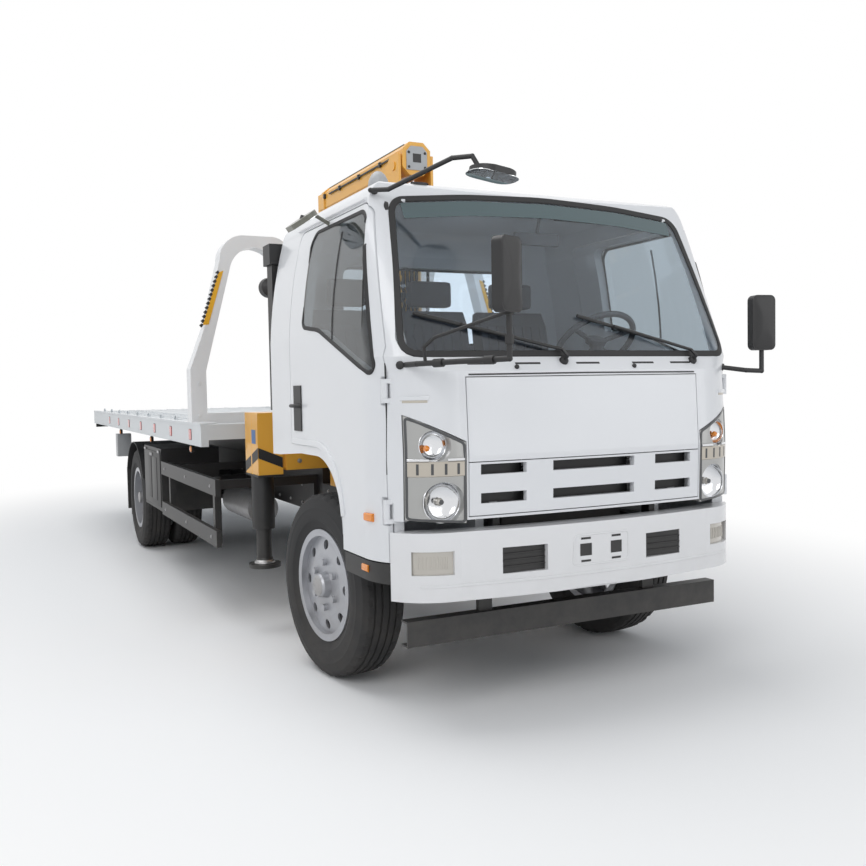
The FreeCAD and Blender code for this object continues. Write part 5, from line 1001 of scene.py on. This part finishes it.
def make_crane_controls():
    """The lever bank on the right, and the hoses from it to the column and between the outriggers."""
    levers, runs = Shape(), Shape()
    levers.block((-0.930, -0.830), (-0.700, -0.560), (1.240, 1.330), 0.006)
    levers.block((-0.95, -0.835), (-0.560, -0.520), (1.240, 1.420), 0.006)
    for y in row(-0.575, -0.027, 5):
        levers.tube([(-0.845, y, 1.325), (-0.828, y, 1.40), (-0.815, y, 1.455)], 0.0045, 8, 2)
        levers.turn((-0.813, y, 1.462), (0.15, 0, 1), LEVER_KNOB, 12)
    levers.done("crane_levers", "chassis", PLASTIC_BLACK, "black_plastic")
    for number in range(4):
        y, shift = -0.58 - number * 0.03, number * 0.03
        runs.tube([(-0.90, y, 1.245), (-0.90, y, 1.36), (-0.93, y + 0.16, 1.39),
                   (-0.95, y + 0.34 + number * 0.02, 1.36), (-0.90, -0.11 + shift, 1.315),
                   (-0.835, -0.06 + shift, 1.38)], 0.0085, 8, 5)
    runs.tube([(-0.870, -0.40, 1.246), (-0.850, -0.2, 1.262), (-0.852, 0.2, 1.262), (-0.870, 0.56, 1.246)],
              0.009, 8, 4)
    runs.done("crane_hoses", "chassis", RUBBER, "black_plastic")


def make_outrigger_details():
    """Jack sleeves, warning stripes and patches on the outriggers, and the bolts that hold the crane."""
    for name, side in SIDES:
        body = "outrigger_" + name
        sleeve, stripe, patch = Shape(), Shape(), Shape()
        sleeve.turn((JACK_X, side * JACK_Y, 0.598), UP, JACK_SLEEVE, 32)
        sleeve.block((-1.127, -0.853), (side * 0.798, side * 0.9475), (0.905, 0.918), 0.002)
        sleeve.turn((JACK_X, side * JACK_Y, 0.394), UP, ((0, 0.050), (0.03, 0.048), (0.034, 0.0455)))
        sleeve.done("jack_sleeve_" + name, body, CHASSIS_BLACK, "chassis_black")
        stripe.prism("y", SIDE_STRIPE, side * 0.9450, side * 0.9462)
        stripe.prism("x", [(side * y, z) for y, z in FRONT_STRIPE], -0.856, -0.8548)
        stripe.done("outrigger_stripes_" + name, body, PLASTIC_BLACK, "black_plastic")
        patch.block((-0.99, -0.90), (side * 0.945, side * 0.9462), (1.095, 1.175), 0.0)
        patch.done("outrigger_patch_" + name, body, PATCH_BLUE, "crane_orange")
    mounts = Shape()
    for side in BOTH:
        for x in (-1.15, -0.83):
            for y in (0.325, 0.375):
                mounts.bolt((x, side * y, 0.9402), UP, *BASE_BOLT)
        for z in (0.99, 1.19):
            for y in (0.70, 0.30):
                mounts.bolt((-0.8598, side * y, z), FORWARD, *CRANE_BOLT)
    mounts.done("crane_mount_bolts", "chassis", BARE_STEEL, "steel")


# ---------------------------------------------------------------- bed

BED_TAIL, TREAD_FRONT = -6.90, -1.80
DECK_FACE = 1.1978
TRIM_ENDS = (-6.920, -1.362)
AMBER_LAMPS = (-1.800, -3.330, -5.05)
FIRST_MARKER, MARKER_GAP = -1.671, -0.652
ROLLER_END = ((0, 0.032), (0.018, 0.032), (0.018, 0.024))
UPPER_TRIM = ((1.112, 1.1985), (1.155, 1.1985), (1.1555, 1.1920), (1.1555, 1.2060), (1.1120, 1.2060))
LOWER_TRIM = ((1.104, 1.0640), (1.1545, 1.0640), (1.1545, 1.0720), (1.104, 1.0600))


def make_deck_tread():
    """Raised strips along the deck, and rows of cleats across it."""
    tread, cleats = Shape(), Shape()
    for y in row(-1.02, 0.17, 13):
        tread.block((BED_TAIL, TREAD_FRONT), (y - 0.011, y + 0.011), (DECK_FACE, 1.2010), 0.001)
    tread.done("deck_tread", "bed", BED_GREY, "bed_paint")
    for x in row(-1.95, -0.19, 26):
        for y in (-0.935, -0.765, 0.765, 0.935):
            cleats.block((x - 0.045, x + 0.045), (y - 0.030, y + 0.030), (DECK_FACE, 1.2018), 0.0015)
    cleats.done("deck_cleats", "bed", BED_GREY, "bed_paint")


def make_bed_edges():
    """Trims and lashing eyes along both edges of the deck, and rollers at the tail."""
    edge, rollers = Shape(), Shape()
    for side in BOTH:
        for outline in (UPPER_TRIM, LOWER_TRIM):
            edge.prism("x", [(side * y, z) for y, z in outline], *TRIM_ENDS)
        for x in row(-1.95, -0.58, 9):
            y = side * 1.075
            edge.tube([(x - 0.045, y, 1.199), (x - 0.030, y, 1.226), (x + 0.030, y, 1.226),
                       (x + 0.045, y, 1.199)], 0.006, 8, 3)
    edge.done("bed_edge_trims", "bed", BED_GREY, "bed_paint")
    for side in BOTH:
        rollers.turn((-6.905, side * 1.085, 1.120), BACKWARD, ROLLER_END, 20)
        rollers.tube([(-6.890, side * 1.135, 1.040), (-6.890, side * 0.9, 1.040)], 0.018, 12, 1)
        rollers.block((BED_TAIL, -6.86), (side * 1.08, side * 1.14), (1.022, 1.064))
    rollers.done("bed_tail_rollers", "bed", PLASTIC_BLACK, "black_plastic")


def make_bed_lamps():
    """Rims round the red markers, and amber lamps on brackets under the skirts."""
    amber, rims = Shape(), Shape()
    for side in BOTH:
        for x in AMBER_LAMPS:
            spot, out = (x, side * 1.118, 1.030), (0, side, 0)
            rims.turn(spot, out, ((-0.012, 0.020), (0.004, 0.026), (0.008, 0.026)), 20)
            rims.block((x - 0.012, x + 0.012), (side * 1.108, side * 1.116), (1.030, 1.066), 0.001)
            amber.turn(spot, out, ((0.006, 0.022), (0.013, 0.019), (0.016, 0.008)), 20)
        for x in row(FIRST_MARKER, MARKER_GAP, 7):
            rims.prism("y", box_outline(x - 0.034, x + 0.034, 1.095, 1.165), side * 1.1530, side * 1.1545)
    rims.done("marker_rims", "bed", PLASTIC_BLACK, "black_plastic")
    amber.done("bed_amber_lamps", "bed", AMBER, "lamp")


BOARD_FACES = ((-1.7425, BACKWARD), (-1.6175, FORWARD))
BOARD_BOLTS = ((1.10, 1.25), (1.10, 1.45), (0.37, 1.25), (0.20, 1.29), (0.20, 1.33))
WARNING_PANEL = ((0.957, 2.151), (0.925, 2.163), (1.028, 1.822), (1.066, 1.817))
CUT_EDGE = ((0.957, 2.151), (1.068, 1.817))  # ends of the notched edge beside the panel
WORK_LAMP = (-1.700, 0.60, 2.075)
WORK_LAMP_BODY = ((-0.035, 0.030), (-0.015, 0.060), (0.030, 0.066), (0.040, 0.066), (0.041, 0.058))
WORK_LAMP_LENS = ((0.036, 0.057), (0.044, 0.050), (0.048, 0.020))


def make_headboard_details():
    """Warning panels and notched edges on the slanted sides, braces and bolts, and the work lamps."""
    panel, edge, white = Shape(), Shape(), Shape()
    (high_y, high_z), (low_y, low_z) = CUT_EDGE
    for side in BOTH:
        panel.prism("x", [(side * y, z) for y, z in WARNING_PANEL], -1.6195, -1.6165)
        for number in range(13):
            t = number / 12
            y, z = high_y + (low_y - high_y) * t, high_z + (low_z - high_z) * t
            notch = ((y + 0.002, z + 0.012), (y + 0.016, z), (y + 0.004, z - 0.014), (y - 0.006, z))
            edge.prism("x", [(side * a, b) for a, b in notch], -1.640, -1.6150)
        for x, way in BOARD_FACES:
            for y, z in BOARD_BOLTS:
                white.bolt((x, side * y, z), way, *PANEL_BOLT)
        white.prism("y", [(-1.740, 1.200), (-1.920, 1.200), (-1.740, 1.400)], side * 1.04, side * 1.052)
        white.block((-1.93, -1.45), (side * 1.035, side * 1.145), (1.1985, 1.2095))
    panel.done("headboard_panels", "bed", PANEL_AMBER, "headboard_paint")
    edge.done("headboard_cut_edges", "bed", PLASTIC_BLACK, "black_plastic")
    white.done("headboard_braces", "bed", BOARD_WHITE, "headboard_paint")
    lamp, lens = Shape(), Shape()
    x, y, z = WORK_LAMP
    for side in BOTH:
        lamp.turn((x, side * y, z), BACKWARD, WORK_LAMP_BODY, 28)
        lamp.tube([(x, side * y, 2.015), (x, side * 0.56, 1.98), (x, side * 0.515, 1.985)], 0.009, 8, 3)
        lens.turn((x, side * y, z), BACKWARD, WORK_LAMP_LENS, 28)
    lamp.done("work_lamps", "bed", PLASTIC_BLACK, "black_plastic")
    lens.done("work_lamp_lenses", "bed", LENS_PALE, "lamp")


DRUM_X, DRUM_HEIGHT = -1.950, 1.330
COIL_RADIUS, COIL_TURNS, TURN_STEPS = 0.067, 25, 10
COIL_START, COIL_WIDTH = -0.155, 0.310
ROPE_RADIUS = 0.0055
CHAIN_HEIGHT = 1.213


def make_winch_details():
    """Rope on the winch drum, the chain and hook at its end, and the winch's feet and hose."""
    rope, chain = Shape(), Shape()
    coil = []
    for turn in [number / TURN_STEPS for number in range(COIL_TURNS * TURN_STEPS)]:
        angle = math.tau * turn
        coil.append((DRUM_X + COIL_RADIUS * math.cos(angle), COIL_START + COIL_WIDTH * turn / COIL_TURNS,
                     DRUM_HEIGHT + COIL_RADIUS * math.sin(angle)))
    rope.tube(coil, ROPE_RADIUS, 6, 1)
    rope.tube([(DRUM_X, 0.0, 1.262), (-2.05, 0.0, 1.235), (-2.30, 0.0, 1.214), (-2.62, 0.0, 1.212)],
              ROPE_RADIUS, 6, 4)
    rope.done("winch_rope", "bed", ROPE_STEEL, "steel")
    for number in range(13):
        centre = at(-2.64 - number * 0.030, 0, CHAIN_HEIGHT)
        lying = number % 2
        link = [Vector((0.020 * a, 0.011 * b * lying, 0.011 * b * (1 - lying))) for a, b in circle(1.0, 12)]
        chain.sweep([centre + point for point in link], [point.normalized() for point in link],
                    circle(0.0034, 6), True)
    chain.tube([(-3.035, 0, CHAIN_HEIGHT), (-3.075, 0, CHAIN_HEIGHT), (-3.110, 0.018, CHAIN_HEIGHT),
                (-3.105, 0.045, CHAIN_HEIGHT), (-3.065, 0.050, CHAIN_HEIGHT)], 0.0075, 8, 4)
    for side in BOTH:
        chain.block((-2.06, -1.84), (side * 0.190, side * 0.230), (1.199, 1.215))
        for x in (-2.03, -1.87):
            chain.bolt((x, side * 0.218, 1.215), UP, *RAIL_BOLT)
    chain.tube([(DRUM_X, 0.33, 1.36), (-1.86, 0.36, 1.34), (-1.78, 0.36, 1.27), (-1.76, 0.33, 1.206)],
               0.008, 8, 4)
    chain.done("winch_chain", "bed", CHASSIS_BLACK, "chassis_black")


# ---------------------------------------------------------------- chassis

BOX_FACE = 1.0905  # outer face of the tool boxes
LATCH_KEY = ((0, 0.010), (0.004, 0.010), (0.005, 0.006))
# Lenses of a tail lamp, as their starts and ends from its outer end.
RED_LENSES, AMBER_LENS, CLEAR_LENS = ((0.02, 0.10), (0.225, 0.27)), (0.105, 0.165), (0.17, 0.22)


def corners_of(node):
    """The low and high corners of a solid, from the front axle."""
    return [Vector(corner) - at(0, 0, 0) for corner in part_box(node)]


def make_tool_box_details():
    """Doors with pressed fields, latches and hinges on both tool boxes."""
    dark, steel = Shape(), Shape()
    for side in BOTH:
        y = side * BOX_FACE
        dark.prism("y", box_outline(-3.855, -3.135, 0.500, 0.930), y, y + side * 0.006, 0.003)
        for x in (-3.62, -3.37):
            field = box_outline(x - 0.10, x + 0.10, 0.545, 0.885)
            dark.prism("y", field, y + side * 0.006, y + side * 0.009, 0.002)
        steel.block((-3.535, -3.455), (y + side * 0.006, y + side * 0.017), (0.890, 0.915))
        steel.turn((-3.495, y + side * 0.016, 0.902), (0, side, 0), LATCH_KEY, 16)
        for x in (-3.80, -3.19):
            steel.block((x - 0.03, x + 0.03), (y + side * 0.001, y + side * 0.012), (0.925, 0.945))
    dark.done("tool_box_doors", "chassis", CHASSIS_BLACK, "chassis_black")
    steel.done("tool_box_latches", "chassis", BARE_STEEL, "steel")


def make_tank_straps():
    """Two straps round the fuel tank, and its cap."""
    straps = Shape()
    low, high = corners_of("fuel_tank")
    around = box_outline(low.y - 0.003, high.y + 0.003, low.z - 0.003, high.z + 0.003)
    outline = [tuple(spot) for spot in rounded(around, 0.09, True, 9.0)]
    for share in (0.2, 0.8):
        x = low.x + (high.x - low.x) * share
        straps.prism("x", outline, x - 0.022, x + 0.022)
    way = 1 if abs(high.y) > abs(low.y) else -1
    out = high.y if way > 0 else low.y
    straps.turn((high.x - 0.16, out - way * 0.11, high.z - 0.012), (0, way * 0.35, 1),
                ((0, 0.042), (0.030, 0.042), (0.034, 0.048), (0.048, 0.048), (0.052, 0.040)))
    straps.done("tank_straps", "chassis", CHASSIS_BLACK, "chassis_black")


def make_mud_flaps():
    """Ribbed flaps behind the rear wheels."""
    flaps = Shape()
    low = corners_of("rear_fenders")[0]
    for side in BOTH:
        top = max(low.z + 0.05, 0.50)
        flaps.block((low.x + 0.004, low.x + 0.014), (side * 0.60, side * 1.06), (0.24, top))
        for y in row(0.64, 0.076, 6):
            across = (side * y - 0.02, side * y + 0.02)
            flaps.block((low.x - 0.001, low.x + 0.005), across, (0.27, 0.46), 0.002)
    flaps.done("mud_flaps", "chassis", PLASTIC_BLACK, "black_plastic")


def make_tail_lenses():
    """Red, amber and pale lenses on the tail lamps, from the outer end inward, and the blank number plate."""
    red, amber, clear, plate = Shape(), Shape(), Shape(), Shape()
    low, high = corners_of("tail_lamps")
    back, middle = low.x, (low.z + high.z) / 2
    for side in BOTH:
        for lens, spans in ((red, RED_LENSES), (amber, (AMBER_LENS,)), (clear, (CLEAR_LENS,))):
            for start, end in spans:
                lens.block((back - 0.012, back + 0.002), (side * (high.y - start), side * (high.y - end)),
                           (middle - 0.045, middle + 0.045), 0.006)
    red.done("tail_lenses_red", "chassis", LENS_RED, "lamp")
    amber.done("tail_lenses_amber", "chassis", AMBER, "lamp")
    clear.done("tail_lenses_clear", "chassis", LENS_PALE, "lamp")
    plate.block((back - 0.006, back), (0.20, 0.72), (middle - 0.055, middle + 0.055), 0.004)
    plate.done("rear_plate_blank", "chassis", BOARD_WHITE, "tail_grey")


def make_chassis_bolts():
    """Bolts on the side guards and along the rails, clear of both axles."""
    guards, rails = Shape(), Shape()
    low, high = corners_of("side_guards")
    for side in BOTH:
        for x in (-1.40, -2.15, -2.92):
            for z in (low.z + 0.05, high.z - 0.05):
                guards.bolt((x, side * (high.y - 0.0005), z), (0, side, 0), *PANEL_BOLT)
    guards.done("guard_bolts", "chassis", BARE_STEEL, "steel")
    for side in BOTH:
        for x in row(0.62, -0.262, 26):
            if -0.30 < x < 0.30 or -4.95 < x < -4.05:
                continue
            for z in (0.640, 0.760):
                rails.bolt((x, side * 0.4002, z), (0, side, 0), *RAIL_BOLT)
    rails.done("rail_bolts", "chassis", BARE_STEEL, "steel")


BRAKE_CHAMBER = ((-0.06, 0.050), (-0.03, 0.062), (0.0, 0.066), (0.01, 0.070), (0.02, 0.066), (0.06, 0.055),
                 (0.08, 0.030))
ARM_PIN = ((0.0, 0.038), (0.012, 0.038), (0.016, 0.028))


def make_running_gear_details():
    """Lines along the left rail, brake chambers with hoses, the lift arm's pins and the jacks' rings."""
    lines, brakes, pins = Shape(), Shape(), Shape()
    for y, z in ((0.385, 0.705), (0.378, 0.725), (0.385, 0.665)):
        lines.tube([(0.45, y, z), (-0.6, y, z + 0.004), (-2.0, y, z), (-3.4, y, z), (-5.6, y, z)],
                   0.006, 6, 2)
    for side in BOTH:
        lines.tube([(-4.30, side * 0.36, 0.70), (-4.28, side * 0.42, 0.62), (-4.34, side * 0.47, 0.53)],
                   0.009, 8, 4)
        brakes.turn((-4.33, side * 0.47, 0.50), BACKWARD, BRAKE_CHAMBER)
        pins.turn((-6.090, side * 0.086, 0.560), (0, side, 0), ARM_PIN, 20)
        pins.block((-6.862, -6.850), (side * 0.40, side * 0.555), (0.505, 0.575), 0.002)
    lines.done("chassis_lines", "chassis", RUBBER, "black_plastic")
    brakes.done("brake_chambers", "chassis", CAST_IRON, "engine_iron")
    pins.done("lift_arm_pins", "underlift", BARE_STEEL, "steel")
    for name, side in SIDES:
        jack = Shape()
        jack.turn((JACK_X, side * JACK_Y, 0.396), UP, ((0, 0.060), (0.010, 0.058), (0.022, 0.0456)))
        jack.done("jack_foot_ring_" + name, "jack_leg_" + name, BARE_STEEL, "steel")


# ---------------------------------------------------------------- stage

# The floor turns plain white between these distances from its middle; those along the truck count less.
FADE_START, FADE_END = 1.8, 4.8
FADE_WEIGHTS = (0.55, 1.0, 0.0)
FLOOR_REACH, FLOOR_DROP = 90.0, 0.001
PLAIN_WHITE = (1.0, 1.0, 1.0, 1.0)


def seen_rays(tree):
    """Socket that is 1 for rays of the camera, of mirrors and through glass."""
    path = shader_node(tree, "LightPath")
    direct = math_node(tree, "MAXIMUM", path.outputs["Is Camera Ray"], path.outputs["Is Glossy Ray"])
    return math_node(tree, "MAXIMUM", direct, path.outputs["Is Transmission Ray"])


def choose_shader(tree, share, first, second, output):
    """Mix two shaders by a share, into an output node."""
    chosen = shader_node(tree, "MixShader")
    for socket, source in zip(chosen.inputs, (share, first.outputs[0], second.outputs[0])):
        tree.links.new(source, socket)
    tree.links.new(chosen.outputs[0], tree.nodes[output].inputs["Surface"])


def build_floor_finish():
    """Matt floor that keeps the truck's shadow and fades to plain white away from the truck."""
    made, tree, skin = new_finish("floor_pale")
    skin.inputs["Base Color"].default_value = (0.95, 0.95, 0.95, 1.0)
    skin.inputs["Roughness"].default_value = 1.0
    skin.inputs["Specular IOR Level"].default_value = 0.0
    white = shader_node(tree, "Emission", in_Color=PLAIN_WHITE, in_Strength=1.0)
    place = shader_node(tree, "NewGeometry")
    span = shader_node(tree, "VectorMath", operation="MULTIPLY")
    tree.links.new(place.outputs["Position"], span.inputs[0])
    span.inputs[1].default_value = FADE_WEIGHTS
    far = shader_node(tree, "VectorMath", operation="LENGTH")
    tree.links.new(span.outputs[0], far.inputs[0])
    fade = shader_node(tree, "MapRange", interpolation_type="SMOOTHSTEP", in_From__Min=FADE_START,
                       in_From__Max=FADE_END)
    tree.links.new(far.outputs["Value"], fade.inputs["Value"])
    share = math_node(tree, "MULTIPLY", fade.outputs[0], seen_rays(tree))
    choose_shader(tree, share, skin, white, "Material Output")
    return made


def build_stage():
    """Plain pale floor, and a soft sky that is plain white wherever it is seen."""
    corners = box_outline(-FLOOR_REACH, FLOOR_REACH, -FLOOR_REACH, FLOOR_REACH)
    plane = bpy.data.meshes.new("floor")
    plane.from_pydata([(x, y, 0) for x, y in corners], [], [(0, 1, 2, 3)])
    plane.materials.append(build_floor_finish())
    floor = bpy.data.objects.new("floor", plane)
    floor.location.z = -FLOOR_DROP
    bpy.context.scene.collection.objects.link(floor)
    world = bpy.data.worlds.new("studio")
    world.use_nodes = True
    bpy.context.scene.world = world
    tree = world.node_tree
    sky = tree.nodes["Background"]
    sky.inputs["Color"].default_value = (0.86, 0.90, 0.95, 1.0)
    sky.inputs["Strength"].default_value = 0.45
    white = shader_node(tree, "Background", in_Color=PLAIN_WHITE, in_Strength=1.0)
    choose_shader(tree, seen_rays(tree), sky, white, "World Output")


# Name, place, aim, width and power of each lamp.
STUDIO_LAMPS = (("key_lamp", (7.0, -7.5, 7.5), (0.2, 0.0, 1.0), 6.0, 370.0),
                ("fill_lamp", (8.0, 5.0, 4.0), (0.8, 0.0, 1.2), 6.0, 160.0),
                ("top_lamp", (-3.0, -2.0, 9.0), (-2.5, 0.0, 1.0), 7.0, 380.0))


def build_lamps():
    """A large key lamp from the front right, a fill from the left and one over the bed."""
    for name, place, aim, size, power in STUDIO_LAMPS:
        data = bpy.data.lights.new(name, "AREA")
        data.energy = power
        data.size = size
        lamp = bpy.data.objects.new(name, data)
        lamp.location = at(*place)
        lamp.rotation_mode = "QUATERNION"
        lamp.rotation_quaternion = (at(*place) - at(*aim)).to_track_quat("Z", "Y")
        bpy.context.scene.collection.objects.link(lamp)


PHOTO_PIXELS, FOCAL_PIXELS = 866, 933.8
SENSOR_WIDTH = 36.0
STANDPOINT = (4.315, -2.376, 1.400)
YAW, PITCH, ROLL = 0.456, -0.0491, -0.019


def build_camera():
    """The photograph's standpoint in front of the right corner, level with the door handles."""
    forward = Vector((-math.cos(YAW) * math.cos(PITCH), math.sin(YAW) * math.cos(PITCH), math.sin(PITCH)))
    right = forward.cross(Vector(UP)).normalized()
    up = right.cross(forward)
    turned_right = right * math.cos(ROLL) + up * math.sin(ROLL)
    turned_up = turned_right.cross(forward)
    data = bpy.data.cameras.new("camera")
    data.sensor_width = SENSOR_WIDTH
    data.lens = FOCAL_PIXELS / PHOTO_PIXELS * SENSOR_WIDTH
    data.clip_end = 200.0
    camera = bpy.data.objects.new("camera", data)
    axes = Matrix((turned_right, turned_up, -forward)).transposed()
    camera.matrix_world = Matrix.Translation(at(*STANDPOINT)) @ axes.to_4x4()
    bpy.context.scene.collection.objects.link(camera)
    bpy.context.scene.camera = camera


dress_solids()
make_glass_seals()
make_lamps()
make_front_panels()
make_bumper_details()
make_door_details()
make_mirror_details()
make_roof_details()
make_seat_padding()
make_cabin_fittings()
make_door_cards()
make_wheels()
make_column_details()
make_boom_details()
make_hook()
make_crane_controls()
make_outrigger_details()
make_deck_tread()
make_bed_edges()
make_bed_lamps()
make_headboard_details()
make_winch_details()
make_tool_box_details()
make_tank_straps()
make_mud_flaps()
make_tail_lenses()
make_chassis_bolts()
make_running_gear_details()
build_stage()
build_lamps()
build_camera()
bpy.context.scene.view_settings.view_transform = "Standard"
